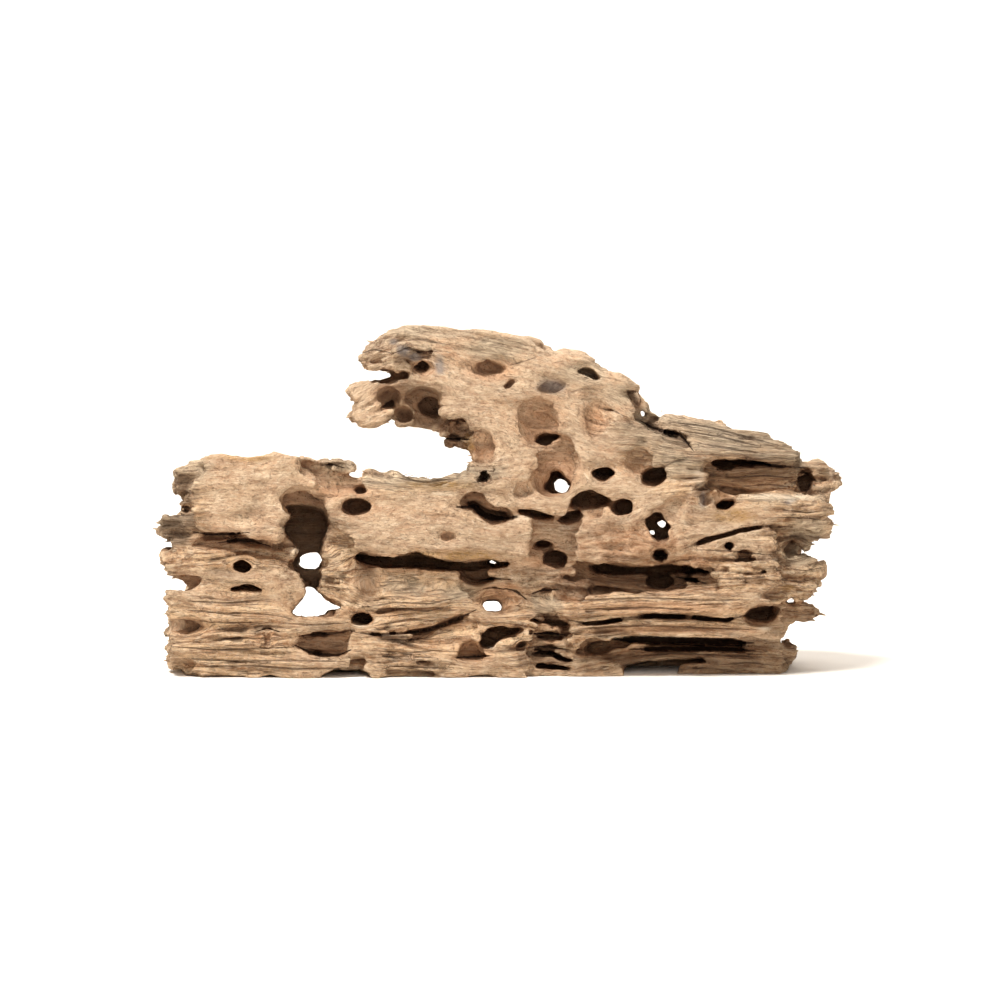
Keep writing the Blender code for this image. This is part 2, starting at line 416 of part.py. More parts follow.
def cut_middle(bm):
    """Hollows around and under the broad middle plate."""
    scoop(bm, (-66, 33, 2), (8.5, 3.2, 5.5))
    bore(bm, (-66.5, 28), (5.1, 2.6), far=32, drift=(1, 2))
    well(bm, [(-69.6, 60), (-62, 61), (-58, 59), (-57.4, 52), (-58.4, 44), (-60.4, 39.6), (-65, 37.4),
              (-69.6, 39), (-70.6, 48)],
         far=13.5, shrink=0.86)
    scoop(bm, (-40, 46, 1), (10, 5, 6.6), turn=6)
    scoop(bm, (-22, 44, 2), (7, 3, 7.4), turn=-10)
    scoop(bm, (-82, 63.4, 5), (2.4, 2.4, 4.5))
    scoop(bm, (-78.6, 60.2, 5), (2.2, 2.0, 4))
    scoop(bm, (-78.5, 46.6, 5), (3.2, 1.6, 4))
    well(bm, [(-70, 60.6), (-52, 58.8), (-46, 59.6), (-40, 61.6), (-35, 59.2), (-22, 56), (-6, 56.6),
              (6, 57.2), (4, 55), (-10, 54.4), (-22, 53.6), (-38, 55.4), (-58, 56.2), (-69, 58)],
         far=27, drift=(0, 1), shrink=1.0)
    well(bm, [(-20.5, 52), (-17, 55.5), (-9, 56), (-6, 52), (-5, 46), (-10, 43.6), (-17, 45),
              (-20.5, 48.5)],
         far=34, drift=(3, 2), shrink=0.8)
    crack(bm, [(-7, 48), (-2, 48.6), (4, 48.2)], half=1.1, far=26)
    crack(bm, [(-6, 43.8), (-2, 44.2), (2, 43.4)], half=0.9, far=24)
    crack(bm, [(4, 43.6), (8, 42.6), (12, 39.4)], half=1.2, far=26)
    scoop(bm, (-2, 38.6, 5), (10.5, 6.0, 13))
    well(bm, [(-8.6, 35), (-7, 37.6), (-4, 38.4), (0.2, 38.2), (1, 36), (1.6, 32.6), (-6, 32.4)],
         far=BEHIND, shrink=1.0)
    scoop(bm, (-25, 68.8, -1), (4.2, 2.9, 8))
    well(bm, [(-19.5, 85), (-18, 88.5), (-14, 90.5), (-8, 90), (-6, 86.5), (-2, 83.4), (4.5, 82.6), (7, 79),
              (7.3, 77.2), (3, 74.8), (-3, 73.4), (-7.5, 75.6), (-10.5, 79.6), (-13, 81.4), (-18, 82.4)],
         far=14, drift=(0, 2), shrink=0.8)
    crack(bm, [(-18, 83.4), (-12, 83.6), (-8, 80), (-3, 78), (3, 77.8), (6.5, 78.4)],
          half=2.0, far=30, drift=(0, 3))
    bore(bm, (-6.8, 97.2), (2.7, 2.4), far=26, drift=(-2, 2))
    crack(bm, [(-12, 95.2), (-8, 96), (-5, 95)], half=0.9, far=16)
    scoop(bm, (-8, 112, 7), (5.4, 8.6, 8))
    crack(bm, [(-48, 16.4), (-36, 21.6), (-25, 27.6), (-18, 31.6)], half=1.1, far=13)
    well(bm, [(-44, 16.8), (-35, 20.8), (-24, 27), (-18, 30.6), (-8, 29), (-8, 24.6), (-11, 20),
              (-20, 16.6),
              (-32, 14.8)],
         far=7.5, shrink=0.85)
    well(bm, [(-9, 20.6), (-5.5, 24.2), (0, 25.8), (6, 25.4), (13, 24), (9, 20.8), (4, 19.4), (0, 17.8),
              (-2.4, 15.4), (-5, 14.6), (-8.5, 15.2), (-9.5, 17.4)],
         far=36, drift=(-1, 1), shrink=0.9)
    well(bm, [(-21, 11), (-18.5, 17.4), (-12, 18.6), (-9.4, 14.6), (-5.4, 11.4), (-8.6, 8), (-15, 7.4),
              (-19.6, 8.8)],
         far=16, shrink=0.7)
    crack(bm, [(-20, 10.2), (-13, 10.6), (-6, 11)], half=0.9, far=28)
    bore(bm, (10.8, 16.4), (2.7, 1.2), far=18, turn=22)
    scoop(bm, (15.2, 22.4, 0), (1.4, 1.2, 12))
    crack(bm, [(-71, 22.6), (-60, 21.2), (-45, 22), (-32, 24.4), (-22, 27.8), (-12, 33)], half=1.0, far=15)
    crack(bm, [(-50, 8.4), (-40, 7.8), (-28, 7.2), (-22, 6.8)], half=0.8, far=8)
    crack(bm, [(-62, 4), (-48, 3.4), (-34, 2.8), (-23, 3.4)], half=0.8, far=8)


def cut_arm(bm):
    """Hollows of the arm, and of the face that leads up to it."""
    well(bm, [(-60, 144.6), (-50, 144.4), (-43.5, 145), (-42, 147.6), (-46, 149), (-52, 148.4),
              (-58, 149.4),
              (-70, 149.2), (-70, 145)],
         far=34, shrink=0.95)
    well(bm, [(-84, 144.4), (-60, 144.2), (-53, 144.8), (-50.6, 146.8), (-53, 149), (-62, 149.8),
              (-84, 150)],
         far=BEHIND, shrink=1.0)
    crack(bm, [(-51, 157.4), (-44, 160.2), (-38, 158.4), (-29, 158.6)], half=0.8, far=17)
    crack(bm, [(-47, 163.4), (-38, 164.4), (-24, 161.6)], half=0.7, far=15)
    crack(bm, [(-66, 157.6), (-60, 159.4), (-53, 158)], half=0.8, far=18)
    scoop(bm, (-59.5, 153.4, 10), (4.2, 1.6, 5))
    bore(bm, (-35.8, 149.6), (4.3, 3.9), far=34, drift=(-1, 3))
    scoop(bm, (-43.5, 153.4, 9), (3.4, 1.8, 7), turn=-40)
    crack(bm, [(-42, 155.2), (-37, 155.6), (-32, 156.6)], half=0.6, far=14)
    scoop(bm, (-52.5, 137, 8), (5.4, 4.6, 8))
    crack(bm, [(-59.5, 130.4), (-55, 131), (-50, 130.6)], half=1.3, far=28)
    scoop(bm, (-37, 136.4, 10), (9, 4.6, 9), turn=8)
    well(bm, [(-42.4, 131.8), (-36, 133.6), (-29, 133.4), (-31, 130), (-28, 127.5), (-27.4, 123.4),
              (-34, 122.4), (-41.4, 124.4)],
         far=50, drift=(0, 2), shrink=0.88)
    scoop(bm, (-46.5, 127, 13), (5, 3.6, 7), turn=-10)
    scoop(bm, (-19, 121.6, 12), (5.6, 4.4, 10))
    crack(bm, [(-25, 116.4), (-21, 116.2), (-16, 116)], half=1.6, far=32)
    scoop(bm, (-5, 149.4, 10), (10.5, 4.9, 12))
    crack(bm, [(-14, 150), (-8, 153.2), (0, 152.4), (6, 149.6)], half=0.9, far=24)
    crack(bm, [(2.3, 141.2), (5.4, 142.2), (8, 145.2)], half=1.3, far=18)
    scoop(bm, (25.5, 141.6, 10.5), (7.4, 2.9, 4.5), turn=11)
    well(bm, [(35.6, 149.6), (39, 151.6), (43.4, 151.8), (46.4, 149.4), (50, 144.4), (46, 145.2),
              (40.6, 147)],
         far=24, drift=(0, -1), shrink=0.7)
    crack(bm, [(49.6, 130.8), (55, 130), (61, 127)], half=0.7, far=16)
    crack(bm, [(-2, 152.4), (6, 152), (12, 153.6), (17, 155.4)], half=0.8, far=17)
    crack(bm, [(50, 138.6), (44, 140.6), (38, 140), (30, 137)], half=0.6, far=11)
    well(bm, [(-6.2, 57.2), (-3.4, 58.6), (-0.4, 57.8), (-0.8, 54.8), (-4.6, 54.4)], far=BEHIND, shrink=1.0)
    well(bm, [(41.6, 138.6), (46.6, 140.4), (50.4, 138), (52.4, 133), (51.4, 128), (52.8, 122.4),
              (48.4, 117.4),
              (44.6, 116.8), (42, 119.4), (43.6, 124), (41.2, 129)],
         far=13.5, shrink=0.55)
    well(bm, [(60.6, 139.6), (67, 140.2), (68.6, 138), (70, 134), (71.4, 131), (68.6, 130), (66, 132.6),
              (62.6, 136)],
         far=38, shrink=1.0)
    well(bm, [(66.4, 128.8), (69, 131), (71.4, 128.4), (69.4, 125.6)], far=BEHIND, shrink=1.0)
    scoop(bm, (74.5, 126, 20), (4.8, 3, 11), turn=-20)
    well(bm, [(8.6, 118), (9.4, 126), (12, 132.6), (16, 136.8), (20.4, 136.6), (21.6, 131.4), (25, 128.6),
              (28.4, 124.4), (29.8, 119.6), (27, 115.4), (21, 112.4), (15, 111.6), (11, 114)],
         far=18, drift=(1.5, -1.5), shrink=0.5)
    well(bm, [(16.4, 115.8), (18, 118.8), (22.4, 120), (28.4, 119.6), (29.4, 118), (26, 115.4),
              (22.4, 112.8)],
         far=38, drift=(1, -2), shrink=0.85)
    well(bm, [(17, 103.4), (17.6, 109.6), (20.6, 112.8), (25, 113.6), (29.4, 118.2), (34.4, 115.4),
              (37.6, 110),
              (38.2, 101.6), (36.6, 95.6), (34.2, 90.6), (27, 88), (20, 89.4), (14.6, 92.6), (16.8, 98)],
         far=21, drift=(0, -1), shrink=0.62)
    scoop(bm, (25, 98.6, 11), (7, 6, 13))
    well(bm, [(21.6, 92.2), (23.4, 96.4), (24.8, 100.6), (29, 101.2), (31.6, 98), (34.6, 94.8), (34, 91),
              (29.6, 89.6), (24.6, 89.6)],
         far=46, shrink=0.85)
    well(bm, [(26.2, 94.6), (28.6, 97.6), (31.6, 96.8), (34.4, 93.4), (33.4, 90.4), (29.6, 89.4),
              (26.8, 91.4)],
         far=BEHIND, shrink=1.0)
    scoop(bm, (13, 91.5, 3), (7, 4.6, 7), turn=30)
    well(bm, [(9, 82), (18, 81.6), (27, 78.4), (28, 77), (20, 76.2), (16, 77.4), (9, 79.6)],
         far=28, drift=(0, 2), shrink=0.85)
    bore(bm, (34.4, 76.4), (5.8, 2.8), far=34, drift=(0, 4), turn=14)
    well(bm, [(34.5, 86.8), (39, 90), (44, 91.4), (50, 89.2), (54, 87.2), (55, 85), (52, 82.8), (46, 81.6),
              (38, 82), (33.4, 82.8)],
         far=32, drift=(0, 2), shrink=0.8)
    well(bm, [(33, 82.4), (50.6, 82.4), (50.4, 78), (40, 76.6), (34, 79)], far=9, shrink=0.9)
    bore(bm, (59, 83), (5.4, 3.7), far=30, drift=(2, 1), turn=14)
    bore(bm, (50, 98.8), (5.4, 2.7), far=34, drift=(1, 3))
    scoop(bm, (50, 100, 1), (7.6, 3.6, 5))
    well(bm, [(61.4, 102.6), (63, 108.2), (66.6, 111.4), (71, 111.2), (74, 106), (73, 101.6), (69, 98.8),
              (65, 100.2)],
         far=14, drift=(0, -1), shrink=0.55)
    bore(bm, (74.8, 97.4), (6.3, 3.8), far=34, drift=(1, 2), turn=14)
    crack(bm, [(69, 124.6), (74, 121.6), (80, 119.8), (87, 118.6), (90, 115.4),
               (93, 111.4)], half=1.0, far=46)
    scoop(bm, (87.5, 115, 12), (6.6, 2.7, 7), turn=-28)
    crack(bm, [(77, 101.6), (84, 105), (92.5, 107.6)], half=0.7, far=14)


def cut_right(bm):
    """Hollows of the right third."""
    well(bm, [(101.5, 102.6), (102.6, 106), (107, 106.6), (113, 106), (120, 105.6), (127, 105.4),
              (131, 103.2), (122, 102), (113, 101.8), (109, 99.4), (106, 99.6), (104.6, 101.4)],
         far=40, drift=(0, 2), shrink=0.9)
    crack(bm, [(126, 104.6), (134, 103), (145, 102.6)], half=0.9, far=34)
    crack(bm, [(118, 93.4), (130, 94.4), (144, 92.6)], half=0.8, far=28)
    crack(bm, [(112, 97.8), (128, 98.6), (143, 97.4)], half=0.8, far=27)
    bore(bm, (148, 95.4), (3.8, 6.6), far=44, drift=(-1, 1))
    well(bm, [(104.6, 82.6), (104, 84.6), (108, 86), (115, 86.4), (113.4, 83.4), (110, 81.2),
              (106.6, 80.8)],
         far=36, drift=(0, 1), shrink=0.8)
    scoop(bm, (101.5, 88, 5), (2.6, 5.4, 6), turn=-40)
    scoop(bm, (109, 88.6, 6), (7, 3.4, 9))
    scoop(bm, (156, 97, 20), (4.5, 2, 9), turn=-24)
    scoop(bm, (160, 78.4, 30), (3.4, 1.8, 26))
    crack(bm, [(96, 65.8), (106, 68.6), (116, 71.8), (127, 73.6), (139, 74.2)], half=1.1, far=24)
    well(bm, [(70, 77.6), (74, 80.2), (79, 80.6), (79.6, 77), (84, 73.6), (81.4, 71.2), (82.8, 68),
              (80.6, 65.4), (77, 64.8), (73.6, 67.4), (71.6, 71)],
         far=36, drift=(0, 1), shrink=0.85)
    well(bm, [(74.2, 77.4), (78.8, 77.8), (81.8, 74.8), (80.2, 72.1), (76.6, 72.9)], far=BEHIND, shrink=1.0)
    well(bm, [(70.8, 72.9), (76.2, 73.0), (77.8, 71), (76.4, 69), (71.8, 69)], far=BEHIND, shrink=1.0)
    well(bm, [(137, 36.4), (143.4, 36.6), (142.6, 39.6), (139, 39.2)], far=BEHIND, shrink=1.0)
    bore(bm, (78, 60), (3.9, 3.3), far=30, drift=(0, 2))
    bore(bm, (111, 65.1), (2.3, 1.9), far=24)
    bore(bm, (118, 61), (2.8, 1.3), far=13)
    well(bm, [(136.2, 62.6), (138.4, 66.4), (143, 67.4), (147.6, 64.6), (148.4, 61), (145, 58.4),
              (139.6, 57.6)],
         far=31, drift=(-1, 1), shrink=0.75)
    well(bm, [(42, 54.6), (50, 56), (60, 54.6), (74, 54), (90, 55.4), (104, 51.8), (100, 50), (86, 50.8),
              (70, 50.4), (56, 49.6), (47, 51)],
         far=46, drift=(0, 1), shrink=0.95)
    bore(bm, (77.6, 46.6), (6.8, 3.4), far=42, drift=(0, 1), shrink=0.8)
    well(bm, [(117.6, 30), (121, 32.8), (128, 35), (135, 35.6), (137, 32), (134, 27.4), (130, 25.8),
              (125, 26.6), (120, 28)],
         far=40, drift=(-2, 1), shrink=0.6)
    bore(bm, (49.6, 41.9), (5.3, 1.5), far=24, drift=(0, 2))
    crack(bm, [(88, 49), (93, 48), (98.4, 46.8)], half=1.3, far=30)
    scoop(bm, (35.5, 48.4, 7), (8.2, 4.8, 8))
    scoop(bm, (23.5, 39.4, 6), (5.8, 4.6, 8))
    crack(bm, [(17.6, 41.8), (21, 43), (27, 43.2)], half=1.2, far=26)
    scoop(bm, (35, 40, 7), (9, 5.2, 8), turn=14)
    bore(bm, (21.4, 63.9), (4.6, 1.8), far=34, drift=(0, 2), turn=6)
    bore(bm, (27, 57.6), (6.3, 3.9), far=38, drift=(0, 2))
    scoop(bm, (26, 66, 8), (9, 4.2, 6))
    crack(bm, [(13.6, 27.8), (20, 27.4), (27, 25.6), (35, 24.2)], half=1.5, far=30)
    crack(bm, [(16, 21.8), (24, 22.2), (32, 21.2)], half=0.7, far=18)
    crack(bm, [(17, 18.6), (23, 19.2), (31, 18.2)], half=1.1, far=26)
    crack(bm, [(15, 14.8), (22, 15.4), (33, 13.6)], half=0.7, far=18)
    crack(bm, [(15, 11.4), (22, 11.8), (30, 10.2), (38, 7)], half=1.4, far=32)
    crack(bm, [(12, 5), (21, 6.4), (30, 5.2), (37, 3.6)], half=1.0, far=26)
    crack(bm, [(35, 28.2), (42, 26.8), (50, 27.0), (60, 29.0), (75, 30.4), (95, 29.6), (110, 28.4),
               (118, 30.4)],
          half=1.0, far=17)
    well(bm, [(38, 13.4), (41.6, 17.4), (57, 18.8), (66, 18), (62, 14.6), (54, 13.4), (48, 10.4), (41, 11)],
         far=34, drift=(2, 1), shrink=0.85)
    crack(bm, [(57, 19), (75, 18.9), (98, 18.3), (121, 17.4)], half=1.8, far=42)
    crack(bm, [(65, 14.2), (80, 14.6), (100, 14.6), (122, 13.8)], half=1.2, far=40)
    well(bm, [(60, 6.6), (70, 8.8), (84, 10.4), (97, 10.3), (105, 8), (98, 7.2), (88, 6.4), (86, 1),
              (82, BELOW_FLOOR), (62, BELOW_FLOOR)],
         far=52, shrink=0.9)
    crack(bm, [(112, 46.8), (120, 46.6), (129, 46)], half=0.7, far=12)
    crack(bm, [(97, 54), (110, 52.2), (124, 51), (138, 53)], half=0.8, far=12)


def cut_foot(bm):
    """Low hollows worn into the front edge of the underside."""
    for mid_u, half_u, rise in ((-134, 13, 2.0), (-45, 16, 1.7), (-8, 9, 2.4), (27, 11, 2.4),
                                (-150, 6, 3.4)):
        scoop(bm, (mid_u, -0.4, 2), (half_u, rise, 11))


def cut_rear(bm):
    """Holes and cracks that open to the rear, the ends and the underside."""
    rear_bores = (
        ((-122, 32), (9, 5.5), 58, (2, 3)), ((-130, 53), (5, 3.4), 72, (0, 2)),
        ((-104, 18), (6.5, 4), 66, (-2, 2)), ((-114, 84), (8.5, 5), 60, (3, 0)),
        ((-58, 20), (10, 5), 62, (0, 3)), ((-46, 68), (12, 7), 58, (4, 0)),
        ((-20, 78), (6, 4), 70, (0, 2)), ((2, 60), (7, 4), 66, (-3, 1)),
        ((-10, 18), (6, 3.4), 76, (0, 3)), ((28, 20), (5, 3), 74, (0, 0)),
        ((56, 92), (9.5, 6), 58, (3, 2)), ((88, 76), (8, 5), 60, (-3, 0)),
        ((106, 92), (6, 4), 66, (0, 2)), ((122, 74), (5, 3.6), 68, (0, 0)),
        ((68, 24), (11, 4.4), 62, (0, 2)), ((112, 20), (7.5, 3.4), 68, (2, 0)),
        ((36, 112), (7, 5), 64, (0, 3)), ((4, 140), (8, 5), 48, (2, 0)),
        ((-34, 146), (6, 4), 54, (0, 1)), ((132, 92), (5, 3), 64, (0, 0)),
        ((-140, 18), (5, 3.2), 78, (0, 0)), ((-96, 33), (4.6, 3), 74, (3, 0)),
        ((-72, 28), (6, 3.6), 72, (0, 0)), ((-26, 36), (8.5, 4.2), 66, (0, 3)),
        ((12, 34), (4, 2.8), 80, (0, 0)), ((22, 78), (6.5, 5), 62, (0, 0)),
        ((-64, 84), (4.4, 3), 70, (0, 0)), ((-130, 96), (4, 2.6), 68, (0, 0)),
        ((70, 82), (4, 3), 70, (0, 0)), ((46, 46), (7, 4), 66, (0, 2)),
        ((100, 50), (9, 4.4), 62, (0, 0)), ((130, 54), (4.6, 3), 70, (0, 0)),
        ((88, 106), (5, 3.4), 68, (0, 0)), ((64, 118), (6, 4), 60, (2, 0)),
        ((20, 128), (4.6, 3.4), 58, (0, 0)), ((-16, 158), (4.4, 2.8), 56, (0, 0)),
        ((-48, 140), (4, 3), 54, (0, 0)), ((-2, 106), (6, 4.4), 66, (0, 0)))
    for centre, radii, depth, drift in rear_bores:
        bore(bm, centre, radii, far=depth, near=BEHIND, drift=drift)
    rear_cracks = (
        ([(-146, 42), (-130, 41), (-112, 44), (-98, 41)], 1.4, 72),
        ([(-146, 8), (-128, 10), (-106, 8), (-88, 10)], 1.3, 76),
        ([(-76, 12), (-50, 10), (-24, 12), (-2, 9), (30, 12)], 1.5, 80),
        ([(-70, 56), (-50, 55), (-30, 58), (-8, 66)], 1.6, 72),
        ([(46, 12), (72, 14), (98, 11), (128, 13)], 1.5, 78),
        ([(40, 66), (62, 64), (84, 66), (112, 62)], 1.6, 70),
        ([(48, 108), (74, 106), (100, 104), (128, 99)], 1.4, 72),
        ([(-54, 156), (-30, 157), (-8, 154), (24, 149)], 1.4, 58),
        ([(-150, 70), (-126, 72), (-104, 69)], 1.6, 62),
        ([(-40, 26), (-16, 27), (10, 25)], 1.4, 84),
        ([(66, 48), (90, 43), (118, 42)], 1.5, 74),
        ([(6, 92), (24, 94), (46, 90)], 1.5, 70),
        ([(120, 84), (136, 82), (152, 84)], 1.5, 66))
    for path, half, depth in rear_cracks:
        crack(bm, path, half, far=depth, near=BEHIND)
    for centre, radii in (((-160, 34, 44), (9, 5, 12)), ((-160, 60, 34), (8, 4, 10)),
                          ((-160, 14, 58), (10, 6, 12)), ((-158, 84, 54), (9, 6, 11)),
                          ((160, 52, 40), (9, 4, 9)), ((158, 70, 46), (9, 5, 12)),
                          ((152, 24, 62), (16, 6, 12)), ((162, 92, 40), (7, 5, 8)),
                          ((-120, 110, 26), (12, 5, 7)), ((-30, 174, 44), (16, 6, 9)),
                          ((98, 128, 62), (14, 6, 10)), ((-40, 101, 34), (16, 5, 8)),
                          ((-110, 4, 64), (26, 9, 16)), ((-20, 6, 60), (30, 8, 18)),
                          ((80, 8, 68), (26, 8, 14)),
                          ((-152, 108, 96), (44, 30, 30)), ((-160, 6, 104), (30, 40, 22)),
                          ((150, 112, 100), (46, 34, 32)), ((146, 8, 108), (34, 36, 26)),
                          ((-70, 54, 108), (46, 13, 22)), ((34, 40, 112), (50, 10, 24)),
                          ((-30, 104, 86), (40, 20, 26)), ((70, 144, 84), (40, 24, 26)),
                          ((-50, 172, 84), (60, 22, 24)), ((-88, -4, 104), (30, 26, 26))):
        scoop(bm, centre, radii)


def add_object(name, bm):
    bmesh.ops.triangulate(bm, faces=bm.faces)
    bmesh.ops.recalc_face_normals(bm, faces=bm.faces)
    mesh = bpy.data.meshes.new(name)
    bm.to_mesh(mesh)
    bm.free()
    obj = bpy.data.objects.new(name, mesh)
    bpy.context.scene.collection.objects.link(obj)
    return obj


def add_voxel_remesh(obj, voxel):
    remesh = obj.modifiers.new("fuse", "REMESH")
    remesh.mode = "VOXEL"
    remesh.voxel_size = voxel


def apply_modifiers(obj):
    bpy.context.view_layer.update()
    evaluated = obj.evaluated_get(bpy.context.evaluated_depsgraph_get())
    finished = bpy.data.meshes.new_from_object(evaluated)
    obj.modifiers.clear()
    obj.data = finished


def keep_largest_shell(bm):
    """Splinters that the cutters left loose are dropped."""
    waiting = set(bm.verts)
    shells = []
    while waiting:
        shell = linked_verts(next(iter(waiting)))
        waiting -= shell
        shells.append(shell)
    shells.sort(key=len)
    for shell in shells[:-1]:
        bmesh.ops.delete(bm, geom=list(shell), context="VERTS")


def weather(bm):
    """Ridges along the grain and low lumps, with worn hollows that deepen towards the rear."""
    bm.normal_update()
    moves = []
    for vert in bm.verts:
        lump = noise.noise(vert.co / LUMP_SIZE) * LUMP_HEIGHT
        rear = (vert.co.y - REAR_WEAR_STARTS) / (REAR_WEAR_FULL - REAR_WEAR_STARTS)
        rear = max(0.0, min(1.0, rear))
        wear = 0.5 + noise.noise(vert.co / WEAR_SIZE + Vector((7.0, 3.0, 5.0)))
        sunk = rear * max(0.0, wear) * REAR_WEAR
        on_grain = Vector((vert.co.x / RIDGE_LENGTH, vert.co.y / RIDGE_DEPTH, vert.co.z / RIDGE_PITCH))
        ridge = noise.noise(on_grain) * (RIDGE_HEIGHT + rear * (REAR_RIDGE_HEIGHT - RIDGE_HEIGHT))
        moves.append(vert.normal * (lump + ridge - sunk))
    for vert, move in zip(bm.verts, moves):
        vert.co += move


def decimate(obj, triangles):
    count = sum(len(face.vertices) - 2 for face in obj.data.polygons)
    reduce = obj.modifiers.new("reduce", "DECIMATE")
    reduce.ratio = min(1.0, triangles / count)
    apply_modifiers(obj)


def touching_verts(bm):
    """Ends of every line on which other than two faces meet."""
    faces_on_line = {}
    for face in bm.faces:
        for edge in face.edges:
            line = frozenset(edge.verts)
            faces_on_line[line] = faces_on_line.get(line, 0) + 1
    return {vert for line, count in faces_on_line.items() if count != 2 for vert in line}


def part_touching_walls(bm):
    """Where two walls share one line, the spot is cut out and closed again, so that they part."""
    bmesh.ops.triangulate(bm, faces=bm.faces)
    spots = touching_verts(bm)
    while spots:
        bmesh.ops.delete(bm, geom=list(spots), context="VERTS")
        rims = [edge for edge in bm.edges if len(edge.link_faces) == 1]
        filled = bmesh.ops.holes_fill(bm, edges=rims, sides=0)
        bmesh.ops.triangulate(bm, faces=filled["faces"])
        spots = touching_verts(bm)
    bmesh.ops.recalc_face_normals(bm, faces=bm.faces)


def clear_floor(bm):
    """Dents that would only graze the floor are pushed under it."""
    for vert in bm.verts:
        if abs(vert.co.z) < LEAST_FOOT_GAP:
            vert.co.z = -LEAST_FOOT_GAP


def cut_flat_base(obj):
    """Everything under z = 0 is sawn off, which leaves the flat resting face."""
    ground = bmesh.new()
    bmesh.ops.create_cube(ground, size=1.0, matrix=Matrix.Translation((0, 0, -0.5)))
    ground_block = add_object("ground_block", ground)
    saw = obj.modifiers.new("flat_base", "BOOLEAN")
    saw.operation = "DIFFERENCE"
    saw.object = ground_block
    apply_modifiers(obj)
    bpy.data.objects.remove(ground_block, do_unlink=True)


def centre(bm):
    """The origin goes under the middle of the bounding box."""
    middle_x = (min(v.co.x for v in bm.verts) + max(v.co.x for v in bm.verts)) / 2
    middle_y = (min(v.co.y for v in bm.verts) + max(v.co.y for v in bm.verts)) / 2
    bmesh.ops.translate(bm, vec=(-middle_x, -middle_y, 0), verts=bm.verts)
    bmesh.ops.triangulate(bm, faces=bm.faces)


def edit(obj, *steps):
    bm = bmesh.new()
    bm.from_mesh(obj.data)
    for step in steps:
        step(bm)
    bm.to_mesh(obj.data)
    bm.free()


def wood_material():
    material = bpy.data.materials.new("weathered_wood")
    material.use_nodes = True
    shader = material.node_tree.nodes["Principled BSDF"]
    shader.inputs["Base Color"].default_value = WOOD_COLOUR
    shader.inputs["Roughness"].default_value = WOOD_ROUGHNESS
    shader.inputs["Metallic"].default_value = 0.0
    return material


def honeycomb_wood():
    solid = bmesh.new()
    for build in (left_plates, middle_plates, arm_plates, right_plates, rear_plates):
        build(solid)
    wood = add_object(NODE, solid)
    add_voxel_remesh(wood, VOXEL)
    apply_modifiers(wood)
    edit(wood, weather)
    add_voxel_remesh(wood, VOXEL)
    apply_modifiers(wood)

    hollow = bmesh.new()
    for cut in (cut_left, cut_middle, cut_arm, cut_right, cut_foot, cut_rear):
        cut(hollow)
    cutter = add_object("hollows", hollow)
    add_voxel_remesh(cutter, HOLLOW_VOXEL)
    cutter.hide_render = True
    cutter.display_type = "WIRE"
    apply_modifiers(cutter)

    carve = wood.modifiers.new("carve", "BOOLEAN")
    carve.operation = "DIFFERENCE"
    carve.object = cutter
    add_voxel_remesh(wood, VOXEL)
    smooth = wood.modifiers.new("wear", "SMOOTH")
    smooth.factor = 0.5
    smooth.iterations = SMOOTH_PASSES
    apply_modifiers(wood)

    edit(wood, keep_largest_shell)
    decimate(wood, TRIANGLES)
    edit(wood, clear_floor)
    cut_flat_base(wood)
    edit(wood, part_touching_walls, keep_largest_shell, centre)
    wood.data.materials.clear()
    wood.data.materials.append(wood_material())
    bpy.data.objects.remove(cutter, do_unlink=True)
    return wood


clear_scene()
honeycomb_wood()
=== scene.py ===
"""Honeycomb wood: one weathered, hollowed block of driftwood with an overhanging arm.

The block is drawn from the front in millimetres: u runs right, w runs up and depth runs into the
wood. The drawing is the view from an eye a little above the top of the block, so a shape that lies
deeper is drawn where it shows from there, and place() turns it into real coordinates.
Slabs make the ledges and plates, cutters make the holes, and both are fused by a voxel remesh.
Then the surface gets lumps, grain that flows round the holes, cracks and pits, and each point
keeps its place in the grain, its stains and its painted shade and highlights for the wood's material.
"""
import math
from itertools import product

import bmesh
import bpy
import numpy as np
from mathutils import Matrix, Vector, noise
from mathutils.bvhtree import BVHTree

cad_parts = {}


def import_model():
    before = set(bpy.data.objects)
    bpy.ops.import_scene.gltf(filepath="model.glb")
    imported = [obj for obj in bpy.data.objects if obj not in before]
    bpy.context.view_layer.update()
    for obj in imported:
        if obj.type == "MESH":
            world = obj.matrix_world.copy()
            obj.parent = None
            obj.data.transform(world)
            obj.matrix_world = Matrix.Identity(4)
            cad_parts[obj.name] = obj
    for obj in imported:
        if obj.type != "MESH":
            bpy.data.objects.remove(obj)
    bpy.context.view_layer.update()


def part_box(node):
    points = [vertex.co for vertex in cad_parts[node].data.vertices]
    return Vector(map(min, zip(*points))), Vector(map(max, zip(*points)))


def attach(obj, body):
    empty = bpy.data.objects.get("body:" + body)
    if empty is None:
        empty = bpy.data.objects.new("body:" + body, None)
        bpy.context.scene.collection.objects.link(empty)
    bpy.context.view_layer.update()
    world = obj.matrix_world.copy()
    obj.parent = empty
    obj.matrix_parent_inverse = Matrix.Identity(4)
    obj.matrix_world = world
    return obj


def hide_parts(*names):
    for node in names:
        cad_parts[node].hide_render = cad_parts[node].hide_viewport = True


MM = 0.001

# The eye and the depths of the drawing, in millimetres
EYE_DISTANCE = 1925.0
EYE_HEIGHT = 238.0
EYE_U = 9.6
BELOW_FLOOR = -9.0
IN_FRONT = -22.0
BEHIND = 128.0
REAR_FACE = 96.0
MIDDLE = 58.0

# The node, its voxels, and the number of triangles kept from each depth on towards the rear
NODE = "honeycomb_wood"
VOXEL = 1.1 * MM
HOLLOW_VOXEL = 0.9 * MM
SKIN_VOXEL = 0.95 * MM
FINAL_VOXEL = 0.8 * MM
DETAIL = ((60.0, 32000), (26.0, 38000), (-60.0, 116000))

